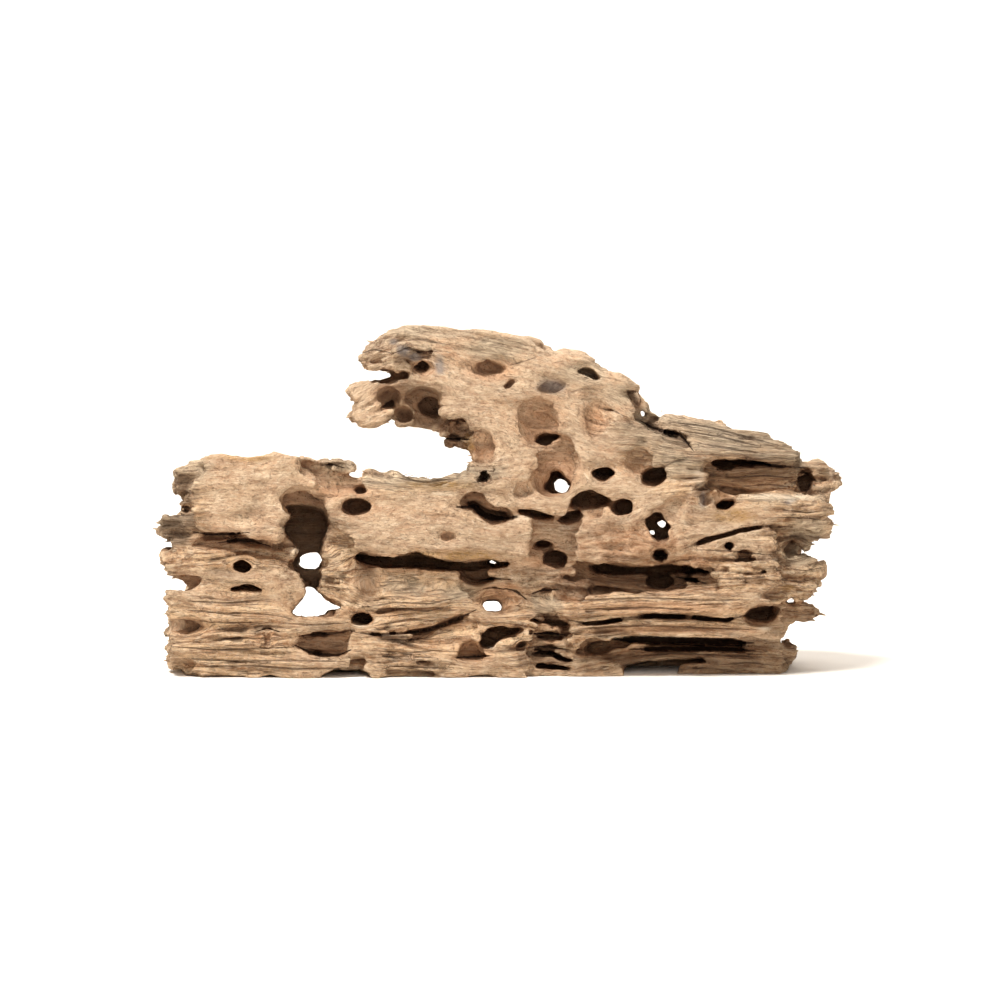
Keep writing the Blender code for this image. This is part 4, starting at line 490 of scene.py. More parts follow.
def cut_left(bm):
    """Hollows of the left third."""
    well(bm, [(-103, 84.5), (-98, 85), (-90, 84), (-84, 81), (-82.5, 77), (-82.5, 73), (-86, 66),
        (-85.5, 58), (-86.5, 48), (-87.5, 43), (-92, 46), (-95.5, 46.5), (-97, 50), (-101, 54), (-99.5, 58),
        (-97, 62), (-100, 66), (-104, 70), (-104, 75), (-100, 79.5), (-103, 81)], far=60, shrink=0.92)
    scoop(bm, (-94, 86.5, 0), (11.5, 5.2, 13), turn=-6)
    hole(bm, [(-98.5, 55), (-96.5, 56.5), (-97, 58.5), (-94.5, 60.7), (-91, 61.7), (-87, 61.5), (-86.3, 59),
        (-84.4, 57.3), (-86.5, 55), (-89, 52.8), (-94, 52.8)])
    hole(bm, [(-94.8, 44.9), (-89.5, 44.9), (-87.3, 42), (-85.3, 41), (-84.5, 38.7), (-79, 36.3),
        (-73.4, 34.9), (-80.5, 33.0), (-84, 32), (-82.5, 30.6), (-92, 29.7), (-98, 30), (-101, 31.5),
        (-99.5, 34), (-97.8, 36.3), (-94.5, 39.6), (-93, 42.3)])
    well(bm, [(-96, 104), (-91, 106.3), (-88, 105), (-84, 101.5), (-78, 100), (-72, 98), (-66, 94.8),
        (-64, 92), (-65, 90.2), (-70, 89.8), (-77, 90.4), (-84, 91), (-88.5, 93.5), (-90, 97.5),
        (-94.5, 101)], far=16, drift=(2, 0), shrink=0.8)
    scoop(bm, (-92, 103.6, 9), (4.6, 2.4, 6), turn=-14)
    crack(bm, [(-85, 103.6), (-80, 103.8), (-76, 102.6)], half=0.8, far=22)
    hole(bm, [(-75, 99), (-71, 100.4), (-67.6, 100.4), (-65, 98.4), (-66.4, 97), (-70, 97.6)])
    bore(bm, (-66.6, 91.2), (2.8, 1.2), far=22)
    bore(bm, (-69, 83.2), (7.2, 4), far=25, drift=(1, 1), shrink=0.6)
    crack(bm, [(-147, 71), (-140, 70), (-130, 70.2), (-122, 70.8)], half=0.7, far=22)
    crack(bm, [(-134, 66.2), (-126, 67.4), (-119, 66.8), (-112, 64.6)], half=1.0, far=21)
    scoop(bm, (-123, 77, -2.2), (6.4, 4, 4.4))
    bore(bm, (-124, 54.4), (4.6, 2.6), far=30)
    scoop(bm, (-123.5, 56.6, 1), (5.4, 3.2, 4.2))
    well(bm, [(-133, 42), (-126, 44.8), (-120, 45.4), (-116, 44.2), (-112.6, 41.4), (-119, 41.4),
        (-126, 41.4)], far=24, drift=(0, 3), shrink=1.0)
    scoop(bm, (-123, 42.2, 1), (8.6, 2.6, 4))
    well(bm, [(-163, 42.5), (-150, 42.4), (-144.5, 46), (-143, 49.6), (-151, 50.5), (-160, 50.2)], far=15,
        shrink=0.9)
    scoop(bm, (-152.5, 25.6, 3), (10.5, 4.6, 13))
    scoop(bm, (-158, 26, 30), (7, 5, 24))
    scoop(bm, (-156, 70.5, 6), (9, 3.4, 7))
    scoop(bm, (-151.5, 82.2, 4), (2.6, 2.6, 12))
    crack(bm, [(-116.4, 23.2), (-112, 24.4), (-107.6, 23)], half=1.0, far=24)
    well(bm, [(-113.6, 22.6), (-110.4, 22.6), (-110.6, 15), (-113, 14.4)], far=5.4)
    well(bm, [(-99, 18), (-97.5, 21), (-92, 22.4), (-84, 21.6), (-76, 22.6), (-71, 23.4), (-72.5, 18),
        (-74, 12.6), (-80, 10.3), (-85, 10.2), (-92, 12), (-98, 15)], far=12.5, drift=(0, -1), shrink=0.72)
    crack(bm, [(-98, 15.8), (-92, 13), (-85, 11.4), (-77, 11.4), (-73, 13.4)], half=1.0, far=21)
    crack(bm, [(-96, 20.6), (-88, 21.8), (-78, 22), (-70.4, 23.6)], half=0.8, far=19)
    scoop(bm, (-155, 6.5, 6), (8, 3.4, 10))
    well(bm, [(-87, BELOW_FLOOR), (-86, 2), (-80, 4.6), (-68, 4.8), (-63, 3), (-60, BELOW_FLOOR)], far=40,
        shrink=0.8)
    well(bm, [(-118, BELOW_FLOOR), (-116, 0.8), (-110, 2.2), (-105, 0.8), (-103, BELOW_FLOOR)], far=34)
    scoop(bm, (-68.5, 7.6, 7), (5.4, 3.0, 6))


def cut_middle(bm):
    """Hollows around and under the broad middle plate."""
    scoop(bm, (-66, 33, 2), (8.5, 3.2, 5.5))
    bore(bm, (-66.5, 28), (5.1, 2.6), far=32, drift=(1, 2))
    scoop(bm, (-64.2, 50, 5), (6.4, 10.6, 5.6), turn=3)
    scoop(bm, (-62.6, 43, 6), (4.2, 5.6, 5), turn=-8)
    scoop(bm, (-40, 46, 1), (10, 5, 6.6), turn=6)
    scoop(bm, (-22, 44, 2), (7, 3, 7.4), turn=-10)
    scoop(bm, (-82, 63.4, 5), (2.4, 2.4, 4.5))
    scoop(bm, (-78.6, 60.2, 5), (2.2, 2.0, 4))
    scoop(bm, (-78.5, 46.6, 5), (3.2, 1.6, 4))
    well(bm, [(-70, 60.6), (-52, 58.8), (-46, 59.6), (-40, 61.6), (-35, 59.2), (-22, 56), (-6, 56.6),
        (6, 57.2), (4, 54), (-10, 52.6), (-22, 51.6), (-38, 53.4), (-58, 54), (-69, 56)], far=44,
        drift=(0, 1), shrink=1.0)
    well(bm, [(-20.5, 52), (-17, 55.5), (-9, 56), (-6, 52), (-5, 46), (-10, 43.6), (-17, 45),
        (-20.5, 48.5)], far=34, drift=(3, 2), shrink=0.8)
    crack(bm, [(-7, 48), (-2, 48.6), (4, 48.2)], half=1.1, far=26)
    crack(bm, [(-6, 43.8), (-2, 44.2), (2, 43.4)], half=0.9, far=24)
    crack(bm, [(4, 43.6), (8, 42.6), (12, 39.4)], half=1.2, far=26)
    scoop(bm, (-2, 38.6, 5), (10.5, 6.0, 13))
    hole(bm, [(-8.6, 35), (-7, 37.6), (-4, 38.4), (0.2, 38.2), (1, 36), (1.6, 32.6), (-6, 32.4)])
    scoop(bm, (-25, 68.8, -1), (4.2, 2.9, 8))
    well(bm, [(-19.5, 85), (-18, 88.5), (-14, 90.5), (-8, 90), (-6, 86.5), (-2, 83.4), (4.5, 82.6), (7, 79),
        (7.3, 77.2), (3, 74.8), (-3, 73.4), (-7.5, 75.6), (-10.5, 79.6), (-13, 81.4), (-18, 82.4)], far=14,
        drift=(0, 2), shrink=0.8)
    crack(bm, [(-18, 83.4), (-12, 83.6), (-8, 80), (-3, 78), (3, 77.8), (6.5, 78.4)], half=2.0, far=30,
        drift=(0, 3))
    bore(bm, (-6.8, 97.2), (2.7, 2.4), far=26, drift=(-2, 2))
    crack(bm, [(-12, 95.2), (-8, 96), (-5, 95)], half=0.9, far=16)
    scoop(bm, (-8, 112, 7), (5.4, 8.6, 8))
    crack(bm, [(-48, 16.4), (-36, 21.6), (-25, 27.6), (-18, 31.6)], half=1.1, far=13)
    well(bm, [(-44, 16.8), (-35, 20.8), (-24, 27), (-18, 30.6), (-8, 29), (-8, 24.6), (-11, 20),
        (-20, 16.6), (-32, 14.8)], far=10.5, shrink=0.8)
    well(bm, [(-9, 20.6), (-5.5, 24.2), (0, 25.8), (6, 25.4), (13, 24), (9, 20.8), (4, 19.4), (0, 17.8),
        (-2.4, 15.4), (-5, 14.6), (-8.5, 15.2), (-9.5, 17.4)], far=36, drift=(-1, 1), shrink=0.9)
    well(bm, [(-21, 11), (-18.5, 17.4), (-12, 18.6), (-9.4, 14.6), (-5.4, 11.4), (-8.6, 8), (-15, 7.4),
        (-19.6, 8.8)], far=16, shrink=0.7)
    crack(bm, [(-20, 10.2), (-13, 10.6), (-6, 11)], half=0.9, far=28)
    bore(bm, (10.8, 16.4), (2.7, 1.2), far=18, turn=22)
    scoop(bm, (15.2, 22.4, 0), (1.4, 1.2, 12))
    crack(bm, [(-71, 22.6), (-60, 21.2), (-45, 22), (-32, 24.4), (-22, 27.8), (-12, 33)], half=0.8, far=19)
    crack(bm, [(-50, 8.4), (-40, 7.8), (-28, 7.2), (-22, 6.8)], half=0.8, far=8)
    crack(bm, [(-62, 4), (-48, 3.4), (-34, 2.8), (-23, 3.4)], half=0.8, far=8)


def cut_arm(bm):
    """Hollows of the arm, and of the face that leads up to it."""
    well(bm, [(-60, 144.6), (-50, 144.4), (-43.5, 145), (-42, 147.6), (-46, 149), (-52, 148.4),
        (-58, 149.4), (-70, 149.2), (-70, 145)], far=34, shrink=0.95)
    hole(bm, [(-84, 144.4), (-60, 144.2), (-53, 144.8), (-50.6, 146.8), (-53, 149), (-62, 149.8),
        (-84, 150)])
    crack(bm, [(-51, 157.4), (-44, 160.2), (-38, 158.4), (-29, 158.6)], half=0.8, far=17)
    crack(bm, [(-47, 163.4), (-38, 164.4), (-24, 161.6)], half=0.7, far=15)
    crack(bm, [(-66, 157.6), (-60, 159.4), (-53, 158)], half=0.8, far=18)
    scoop(bm, (-59.5, 153.4, 10), (4.2, 1.6, 5))
    scoop(bm, (-37.4, 150.6, 10), (6.6, 4.2, 6), turn=-10)
    well(bm, [(-41, 149.8), (-39, 152.2), (-36.4, 152.8), (-33.6, 151.6), (-32, 149), (-34, 147),
        (-37, 146.4), (-40, 147.6)], far=30, drift=(-1, 3), shrink=0.75)
    scoop(bm, (-43.5, 153.4, 9), (3.4, 1.8, 7), turn=-40)
    crack(bm, [(-42, 155.2), (-37, 155.6), (-32, 156.6)], half=0.6, far=14)
    scoop(bm, (-53, 136.6, 10), (6.4, 4.8, 14))
    well(bm, [(-60, 130), (-57, 131.2), (-53, 134), (-50.4, 133.4), (-50.6, 130.4), (-54, 129.6),
        (-58, 129.2)], far=32, drift=(1, 2), shrink=0.8)
    scoop(bm, (-37.5, 136, 10), (10.4, 5.6, 15), turn=8)
    well(bm, [(-40.4, 129.6), (-39, 132.8), (-35, 135), (-30.6, 134.4), (-28.4, 131.4), (-29.6, 128.4),
        (-27.6, 125.6), (-31, 123.8), (-36, 124.4), (-39, 126)], far=37, drift=(1, 3.5), shrink=0.84)
    scoop(bm, (-46.5, 128, 18), (5.4, 4.2, 11), turn=-10)
    scoop(bm, (-19, 121.6, 12), (5.6, 4.4, 10))
    crack(bm, [(-25, 116.4), (-21, 116.2), (-16, 116)], half=1.3, far=26)
    well(bm, [(-15, 149), (-12.6, 152), (-8, 153.8), (-2, 153.8), (3, 151.6), (6, 149.6), (3, 147),
        (-2, 145.2), (-8, 144.8), (-13, 146)], far=21, drift=(0, 1.5), shrink=0.5)
    scoop(bm, (5, 142.8, 11), (3.6, 1.7, 6), turn=35)
    scoop(bm, (25.5, 141.6, 10.5), (7.4, 2.9, 4.5), turn=11)
    well(bm, [(35.6, 149.6), (39, 151.6), (43.4, 151.8), (46.4, 149.4), (50, 144.4), (46, 145.2),
        (40.6, 147)], far=24, drift=(0, -1), shrink=0.7)
    crack(bm, [(49.6, 130.8), (55, 130), (61, 127)], half=0.7, far=16)
    crack(bm, [(6, 152), (12, 153.6), (17, 155.4)], half=0.6, far=15)
    crack(bm, [(50, 138.6), (44, 140.6), (38, 140), (30, 137)], half=0.6, far=11)
    hole(bm, [(-6, 56.4), (-3.4, 57.6), (-1, 57), (-1.4, 55), (-4.4, 54.8)])
    scoop(bm, (46.8, 127.6, 8.5), (5.6, 11.6, 5), turn=-4)
    well(bm, [(60.6, 139.6), (66, 139.8), (67.4, 137.6), (68.2, 134.4), (68.4, 132.6), (67, 131.6),
        (65.2, 133), (62.6, 136)], far=36, shrink=0.9)
    hole(bm, [(66.8, 128.6), (69, 130.4), (71, 128.2), (69.4, 126)])
    scoop(bm, (74.5, 126, 20), (4.8, 3, 11), turn=-20)
    scoop(bm, (18.8, 124, 9.5), (9.8, 13.2, 11), turn=14)
    well(bm, [(16.4, 115.8), (18, 118.8), (22.4, 120), (28.4, 119.6), (29.4, 118), (26, 115.4),
        (22.4, 112.8)], far=38, drift=(1, -2), shrink=0.85)
    scoop(bm, (28.4, 106, 7), (10, 12.6, 12), turn=-8)
    scoop(bm, (26, 97, 7), (10.6, 9, 14))
    well(bm, [(21.6, 92.2), (23.4, 96.4), (24.8, 100.6), (29, 101.2), (31.6, 98), (34.6, 94.8), (34, 91),
        (29.6, 89.6), (24.6, 89.6)], far=46, shrink=0.85)
    hole(bm, [(26.2, 94.6), (28.6, 97.6), (31.6, 96.8), (34.4, 93.4), (33.4, 90.4), (29.6, 89.4),
        (26.8, 91.4)])
    scoop(bm, (13, 91.5, 3), (7, 4.6, 7), turn=30)
    well(bm, [(9, 82), (18, 81.6), (27, 78.4), (28, 77), (20, 76.2), (16, 77.4), (9, 79.6)], far=28,
        drift=(0, 2), shrink=0.85)
    bore(bm, (34.4, 76.4), (5.8, 2.8), far=34, drift=(0, 4), turn=14)
    well(bm, [(34.5, 86.8), (39, 90), (44, 91.4), (50, 89.2), (54, 87.2), (55, 85), (52, 82.8), (46, 81.6),
        (38, 82), (33.4, 82.8)], far=32, drift=(0, 2), shrink=0.8)
    well(bm, [(33, 82.4), (50.6, 82.4), (50.4, 78), (40, 76.6), (34, 79)], far=9, shrink=0.9)
    bore(bm, (59, 83), (5.4, 3.7), far=30, drift=(2, 1), turn=14)
    bore(bm, (50, 98.8), (5.4, 2.7), far=34, drift=(1, 3))
    scoop(bm, (50, 100, 1), (7.6, 3.6, 5))
    scoop(bm, (67.4, 105.6, 7), (6.6, 6.6, 7))
    bore(bm, (74.8, 97.4), (6.3, 3.8), far=34, drift=(1, 2), turn=14)
    crack(bm, [(69, 124.6), (74, 121.6), (80, 119.8), (87, 118.6), (90, 115.4), (93, 111.4)], half=0.8,
        far=32)
    scoop(bm, (87.5, 115, 12), (6.6, 2.7, 7), turn=-28)
    crack(bm, [(77, 101.6), (84, 105), (92.5, 107.6)], half=0.7, far=14)


def cut_right(bm):
    """Hollows of the right third."""
    well(bm, [(101.5, 102.6), (102.6, 106), (107, 106.6), (113, 106), (120, 105.6), (127, 105.4),
        (131, 103.2), (122, 102), (113, 101.8), (109, 99.4), (106, 99.6), (104.6, 101.4)], far=40,
        drift=(0, 2), shrink=0.9)
    crack(bm, [(126, 104.6), (134, 103), (145, 102.6)], half=0.9, far=34)
    bore(bm, (148, 95.4), (3.8, 6.6), far=44, drift=(-1, 1))
    well(bm, [(104.6, 82.6), (104, 84.6), (108, 86), (115, 86.4), (113.4, 83.4), (110, 81.2),
        (106.6, 80.8)], far=36, drift=(0, 1), shrink=0.8)
    scoop(bm, (101.5, 88, 5), (2.6, 5.4, 6), turn=-40)
    scoop(bm, (109, 88.6, 6), (7, 3.4, 9))
    scoop(bm, (156, 97, 20), (4.5, 2, 9), turn=-24)
    scoop(bm, (160, 78.4, 30), (3.4, 1.8, 26))
    crack(bm, [(90, 63.4), (98, 66.6), (106, 68.8), (116, 71.8), (127, 73.6), (139, 74)], half=1.0, far=15)
    crack(bm, [(100, 58.8), (115, 57.6), (134, 58.6)], half=0.7, far=12)
    well(bm, [(70, 77.6), (74, 80.2), (79, 80.6), (79.6, 77), (84, 73.6), (81.4, 71.2), (82.8, 68),
        (81, 66.6), (77, 66), (73.6, 68), (71.6, 71)], far=36, drift=(0, 1), shrink=0.85)
    hole(bm, [(75, 77), (78.6, 77.3), (81.3, 74.8), (79.9, 72.7), (77, 73.9)])
    hole(bm, [(71.3, 72.3), (75.2, 72.3), (76.6, 71), (75.6, 69.5), (72.2, 69.5)])
    hole(bm, [(137, 36.4), (143.4, 36.6), (142.6, 39.6), (139, 39.2)])
    bore(bm, (78, 59.8), (3.9, 3.0), far=30, drift=(0, 1))
    bore(bm, (111, 64.4), (1.9, 1.5), far=24)
    bore(bm, (118, 61), (2.8, 1.3), far=13)
    well(bm, [(136.2, 62.6), (138.4, 66.4), (143, 67.4), (147.6, 64.6), (148.4, 61), (145, 58.4),
        (139.6, 57.6)], far=31, drift=(-1, 1), shrink=0.75)
    well(bm, [(42, 54.6), (50, 56), (60, 54.6), (74, 54), (90, 55.4), (104, 51.8), (100, 50), (86, 50.8),
        (70, 50.4), (56, 49.6), (47, 51)], far=46, drift=(0, 1), shrink=0.95)
    bore(bm, (77.6, 46.6), (6.8, 3.4), far=42, drift=(0, 1), shrink=0.8)
    well(bm, [(117.6, 30), (121, 32.8), (128, 35), (135, 35.6), (137, 32), (134, 27.4), (130, 25.8),
        (125, 26.6), (120, 28)], far=40, drift=(-2, 1), shrink=0.6)
    bore(bm, (49.6, 41.9), (5.3, 1.5), far=24, drift=(0, 2))
    crack(bm, [(88, 49), (93, 48), (98.4, 46.8)], half=1.3, far=30)
    scoop(bm, (35.5, 48.4, 7), (8.2, 4.8, 8))
    scoop(bm, (23.5, 39.4, 6), (5.8, 4.6, 8))
    crack(bm, [(17.6, 41.8), (21, 43), (27, 43.2)], half=1.2, far=26)
    scoop(bm, (35, 40, 7), (9, 5.2, 8), turn=14)
    bore(bm, (21.4, 63.9), (4.6, 1.8), far=34, drift=(0, 2), turn=6)
    bore(bm, (27, 57.6), (6.3, 3.9), far=38, drift=(0, 2))
    scoop(bm, (26, 66, 8), (9, 4.2, 6))
    well(bm, [(12.6, 27.2), (17, 28.8), (24, 27.6), (34.2, 26.4), (34.6, 23.6), (27, 24.6), (20, 25.6)],
        far=26, drift=(0, 2), shrink=0.9)
    crack(bm, [(16, 21.8), (24, 22.2), (32, 21.2)], half=0.8, far=20)
    well(bm, [(17, 19.2), (24, 20.4), (31.4, 19.4), (31.6, 17), (25, 17.2), (19, 17.6)], far=26,
        drift=(0, 2), shrink=0.9)
    crack(bm, [(15, 15.2), (22, 15.6), (33, 14)], half=0.8, far=20)
    well(bm, [(14.6, 11.6), (18, 13.2), (25, 12.8), (30.6, 10.8), (37, 8), (37.4, 6.4), (29, 8.4),
        (22, 10.2), (16, 10)], far=32, drift=(0, 2), shrink=0.9)
    well(bm, [(12, 5), (18, 6.8), (25, 7), (32, 5.6), (37, 3.8), (30, 3.2), (20, 4.2)], far=28,
        drift=(0, 1), shrink=0.9)
    crack(bm, [(35, 28.2), (42, 26.8), (50, 27.0), (60, 29.0), (75, 30.4), (95, 29.6), (110, 28.4),
        (118, 30.4)], half=1.1, far=18)
    well(bm, [(38, 13.4), (41.6, 17.4), (57, 18.8), (66, 18), (62, 14.6), (54, 13.4), (48, 10.4), (41, 11)],
        far=34, drift=(2, 1), shrink=0.85)
    crack(bm, [(57, 19), (75, 18.9), (98, 18.3), (121, 17.4)], half=1.8, far=42)
    crack(bm, [(65, 14.2), (80, 14.6), (100, 14.6), (122, 13.8)], half=1.2, far=40)
    well(bm, [(60, 6.6), (70, 8.8), (84, 10.4), (97, 10.3), (105, 8), (98, 7.2), (88, 6.4), (86, 1),
        (82, BELOW_FLOOR), (62, BELOW_FLOOR)], far=52, shrink=0.9)
    crack(bm, [(112, 46.8), (120, 46.6), (129, 46)], half=0.7, far=12)
    crack(bm, [(97, 54), (110, 52.2), (124, 51), (138, 53)], half=0.8, far=12)


def cut_foot(bm):
    """Low hollows worn into the front edge of the underside."""
    for mid_u, half_u, rise in ((-134, 13, 2.0), (-45, 16, 1.7), (-8, 9, 2.4), (27, 11, 2.4),
                                (-150, 6, 3.4)):
        scoop(bm, (mid_u, -0.4, 2), (half_u, rise, 11))


def cut_rear(bm):
    """Holes and cracks that open to the rear, the ends and the underside."""
    rear_bores = (
        ((-122, 32), (9, 5.5), 58, (2, 3)), ((-130, 53), (5, 3.4), 72, (0, 2)),
        ((-104, 18), (6.5, 4), 66, (-2, 2)), ((-114, 84), (8.5, 5), 60, (3, 0)),
        ((-58, 20), (10, 5), 62, (0, 3)), ((-46, 68), (12, 7), 58, (4, 0)),
        ((-20, 78), (6, 4), 70, (0, 2)), ((2, 60), (7, 4), 66, (-3, 1)),
        ((-10, 18), (6, 3.4), 76, (0, 3)), ((28, 20), (5, 3), 74, (0, 0)),
        ((56, 92), (9.5, 6), 58, (3, 2)), ((88, 76), (8, 5), 60, (-3, 0)),
        ((106, 92), (6, 4), 66, (0, 2)), ((122, 74), (5, 3.6), 68, (0, 0)),
        ((68, 24), (11, 4.4), 62, (0, 2)), ((112, 20), (7.5, 3.4), 68, (2, 0)),
        ((36, 112), (7, 5), 64, (0, 3)), ((4, 140), (8, 5), 48, (2, 0)),
        ((-34, 146), (6, 4), 54, (0, 1)), ((132, 92), (5, 3), 64, (0, 0)),
        ((-140, 18), (5, 3.2), 78, (0, 0)), ((-96, 33), (4.6, 3), 74, (3, 0)),
        ((-72, 28), (6, 3.6), 72, (0, 0)), ((-26, 36), (8.5, 4.2), 66, (0, 3)),
        ((12, 34), (4, 2.8), 80, (0, 0)), ((22, 78), (6.5, 5), 62, (0, 0)),
        ((-64, 84), (4.4, 3), 70, (0, 0)), ((-130, 96), (4, 2.6), 68, (0, 0)),
        ((70, 82), (4, 3), 70, (0, 0)), ((46, 46), (7, 4), 66, (0, 2)),
        ((100, 50), (9, 4.4), 62, (0, 0)), ((130, 54), (4.6, 3), 70, (0, 0)),
        ((88, 106), (5, 3.4), 68, (0, 0)), ((64, 118), (6, 4), 60, (2, 0)),
        ((20, 128), (4.6, 3.4), 58, (0, 0)), ((-16, 158), (4.4, 2.8), 56, (0, 0)),
        ((-48, 140), (4, 3), 54, (0, 0)), ((-2, 106), (6, 4.4), 66, (0, 0)))
    for centre, radii, depth, drift in rear_bores:
        bore(bm, centre, radii, far=depth, near=BEHIND, drift=drift)
    rear_cracks = (
        ([(-146, 42), (-130, 41), (-112, 44), (-98, 41)], 1.4, 72),
        ([(-146, 8), (-128, 10), (-106, 8), (-88, 10)], 1.3, 76),
        ([(-76, 12), (-50, 10), (-24, 12), (-2, 9), (30, 12)], 1.5, 80),
        ([(-70, 56), (-50, 55), (-30, 58), (-8, 66)], 1.6, 72),
        ([(46, 12), (72, 14), (98, 11), (128, 13)], 1.5, 78),
        ([(40, 66), (62, 64), (84, 66), (112, 62)], 1.6, 70),
        ([(48, 108), (74, 106), (100, 104), (128, 99)], 1.4, 72),
        ([(-54, 156), (-30, 157), (-8, 154), (24, 149)], 1.4, 58),
        ([(-150, 70), (-126, 72), (-104, 69)], 1.6, 62),
        ([(-40, 26), (-16, 27), (10, 25)], 1.4, 84),
        ([(66, 48), (90, 43), (118, 42)], 1.5, 74),
        ([(6, 92), (24, 94), (46, 90)], 1.5, 70),
        ([(120, 84), (136, 82), (152, 84)], 1.5, 66))
    for path, half, depth in rear_cracks:
        crack(bm, path, half, far=depth, near=BEHIND)
    for centre, radii in (((-160, 34, 44), (9, 5, 12)), ((-160, 60, 34), (8, 4, 10)),
                          ((-160, 14, 58), (10, 6, 12)), ((-158, 84, 54), (9, 6, 11)),
                          ((160, 52, 40), (9, 4, 9)), ((158, 70, 46), (9, 5, 12)),
                          ((152, 24, 62), (16, 6, 12)), ((162, 92, 40), (7, 5, 8)),
                          ((-120, 110, 26), (12, 5, 7)), ((-30, 174, 44), (16, 6, 9)),
                          ((98, 128, 62), (14, 6, 10)), ((-40, 101, 34), (16, 5, 8)),
                          ((-110, 4, 64), (26, 9, 16)), ((-20, 6, 60), (30, 8, 18)),
                          ((80, 8, 68), (26, 8, 14)),
                          ((-152, 108, 96), (44, 30, 30)), ((-160, 6, 104), (30, 40, 22)),
                          ((150, 112, 100), (46, 34, 32)), ((146, 8, 108), (34, 36, 26)),
                          ((-70, 54, 108), (46, 13, 22)), ((34, 40, 112), (50, 10, 24)),
                          ((-30, 104, 86), (40, 20, 26)), ((70, 144, 84), (40, 24, 26)),
                          ((-50, 172, 84), (60, 22, 24)), ((-88, -4, 104), (30, 26, 26))):
        scoop(bm, centre, radii)


def add_object(name, bm):
    bmesh.ops.triangulate(bm, faces=bm.faces)
    bmesh.ops.recalc_face_normals(bm, faces=bm.faces)
    mesh = bpy.data.meshes.new(name)
    bm.to_mesh(mesh)
    bm.free()
    obj = bpy.data.objects.new(name, mesh)
    bpy.context.scene.collection.objects.link(obj)
    return obj


def add_voxel_remesh(obj, voxel):
    remesh = obj.modifiers.new("fuse", "REMESH")
    remesh.mode = "VOXEL"
    remesh.voxel_size = voxel


def add_difference(obj, cutter):
    carve = obj.modifiers.new("carve", "BOOLEAN")
    carve.operation = "DIFFERENCE"
    carve.solver = "MANIFOLD"
    carve.object = cutter


def apply_modifiers(obj):
    bpy.context.view_layer.update()
    evaluated = obj.evaluated_get(bpy.context.evaluated_depsgraph_get())
    finished = bpy.data.meshes.new_from_object(evaluated)
    obj.modifiers.clear()
    obj.data = finished


def edit(obj, *steps):
    bm = bmesh.new()
    bm.from_mesh(obj.data)
    for step in steps:
        step(bm)
    bm.to_mesh(obj.data)
    bm.free()


def keep_largest_shell(bm):
    """Splinters that the cutters left loose are dropped."""
    waiting = set(bm.verts)
    shells = []
    while waiting:
        shell = linked_verts(next(iter(waiting)))
        waiting -= shell
        shells.append(shell)
    shells.sort(key=len)
    for shell in shells[:-1]:
        bmesh.ops.delete(bm, geom=list(shell), context="VERTS")


def weather(bm):
    """Ridges along the grain and low lumps, with worn hollows that deepen towards the rear."""
    bm.normal_update()
    moves = []
    for vert in bm.verts:
        lump = noise.noise(vert.co / LUMP_SIZE) * LUMP_HEIGHT
        rear = (vert.co.y - REAR_WEAR_STARTS) / (REAR_WEAR_FULL - REAR_WEAR_STARTS)
        rear = max(0.0, min(1.0, rear))
        wear = 0.5 + noise.noise(vert.co / WEAR_SIZE + Vector((7.0, 3.0, 5.0)))
        sunk = rear * max(0.0, wear) * REAR_WEAR
        on_grain = Vector((vert.co.x / RIDGE_LENGTH, vert.co.y / RIDGE_DEPTH, vert.co.z / RIDGE_PITCH))
        ridge = noise.noise(on_grain) * (RIDGE_HEIGHT + rear * (REAR_RIDGE_HEIGHT - RIDGE_HEIGHT))
        moves.append(vert.normal * (lump + ridge - sunk))
    for vert, move in zip(bm.verts, moves):
        vert.co += move


def lattice_value(cell, seed):
    """Repeatable value of -1 to 1 for each cell of a lattice."""
    x, y, z = (cell[:, i].astype(np.uint64) for i in range(3))
    mixed = x * np.uint64(73856093) ^ y * np.uint64(19349663) ^ z * np.uint64(83492791)
    mixed = mixed ^ np.uint64(seed * 2654435761 % 2 ** 40)
    mixed = (mixed ^ (mixed >> np.uint64(13))) * np.uint64(1274126177)
    mixed = (mixed ^ (mixed >> np.uint64(16))) * np.uint64(668265263)
    return ((mixed >> np.uint64(20)) & np.uint64(65535)).astype(float) / 32767.5 - 1.0


def smooth_noise(points, seed):
    """Gradient noise of about -1 to 1 at rows of points."""
    cell = np.floor(points).astype(np.int64)
    inside = points - cell
    fade = inside ** 3 * (inside * (inside * 6.0 - 15.0) + 10.0)
    total = np.zeros(len(points))
    for corner in product((0, 1), repeat=3):
        at = cell + np.array(corner)
        away = inside - np.array(corner)
        slope = sum(lattice_value(at, seed + 17 * axis) * away[:, axis] for axis in range(3))
        share = np.ones(len(points))
        for axis in range(3):
            share = share * (fade[:, axis] if corner[axis] else 1.0 - fade[:, axis])
        total += slope * share
    return total * 1.5


def layered_noise(points, seed, octaves=3):
    total = np.zeros(len(points))
    for octave in range(octaves):
        total += smooth_noise(points * 2.0 ** octave, seed + 101 * octave) * 0.55 ** octave
    return total


def read_rows(items, field, width, kind=float):
    """One field of all points, edges or faces of a mesh, as rows of numbers."""
    flat = np.empty(len(items) * width, dtype=kind)
    items.foreach_get(field, flat)
    return flat.reshape(-1, width)


def read_points(mesh):
    return read_rows(mesh.vertices, "co", 3)


def read_normals(mesh):
    return read_rows(mesh.vertices, "normal", 3)


def write_points(mesh, points):
    mesh.vertices.foreach_set("co", points.ravel())
    mesh.update()


def drawn(points):
    """u, w and depth, in millimetres, of real points."""
    depth = points[:, 1] / MM
    scale = (EYE_DISTANCE + depth) / EYE_DISTANCE
    u = EYE_U + (points[:, 0] / MM - EYE_U) / scale
    w = EYE_HEIGHT + (points[:, 2] / MM - EYE_HEIGHT) / scale
    return u, w, depth


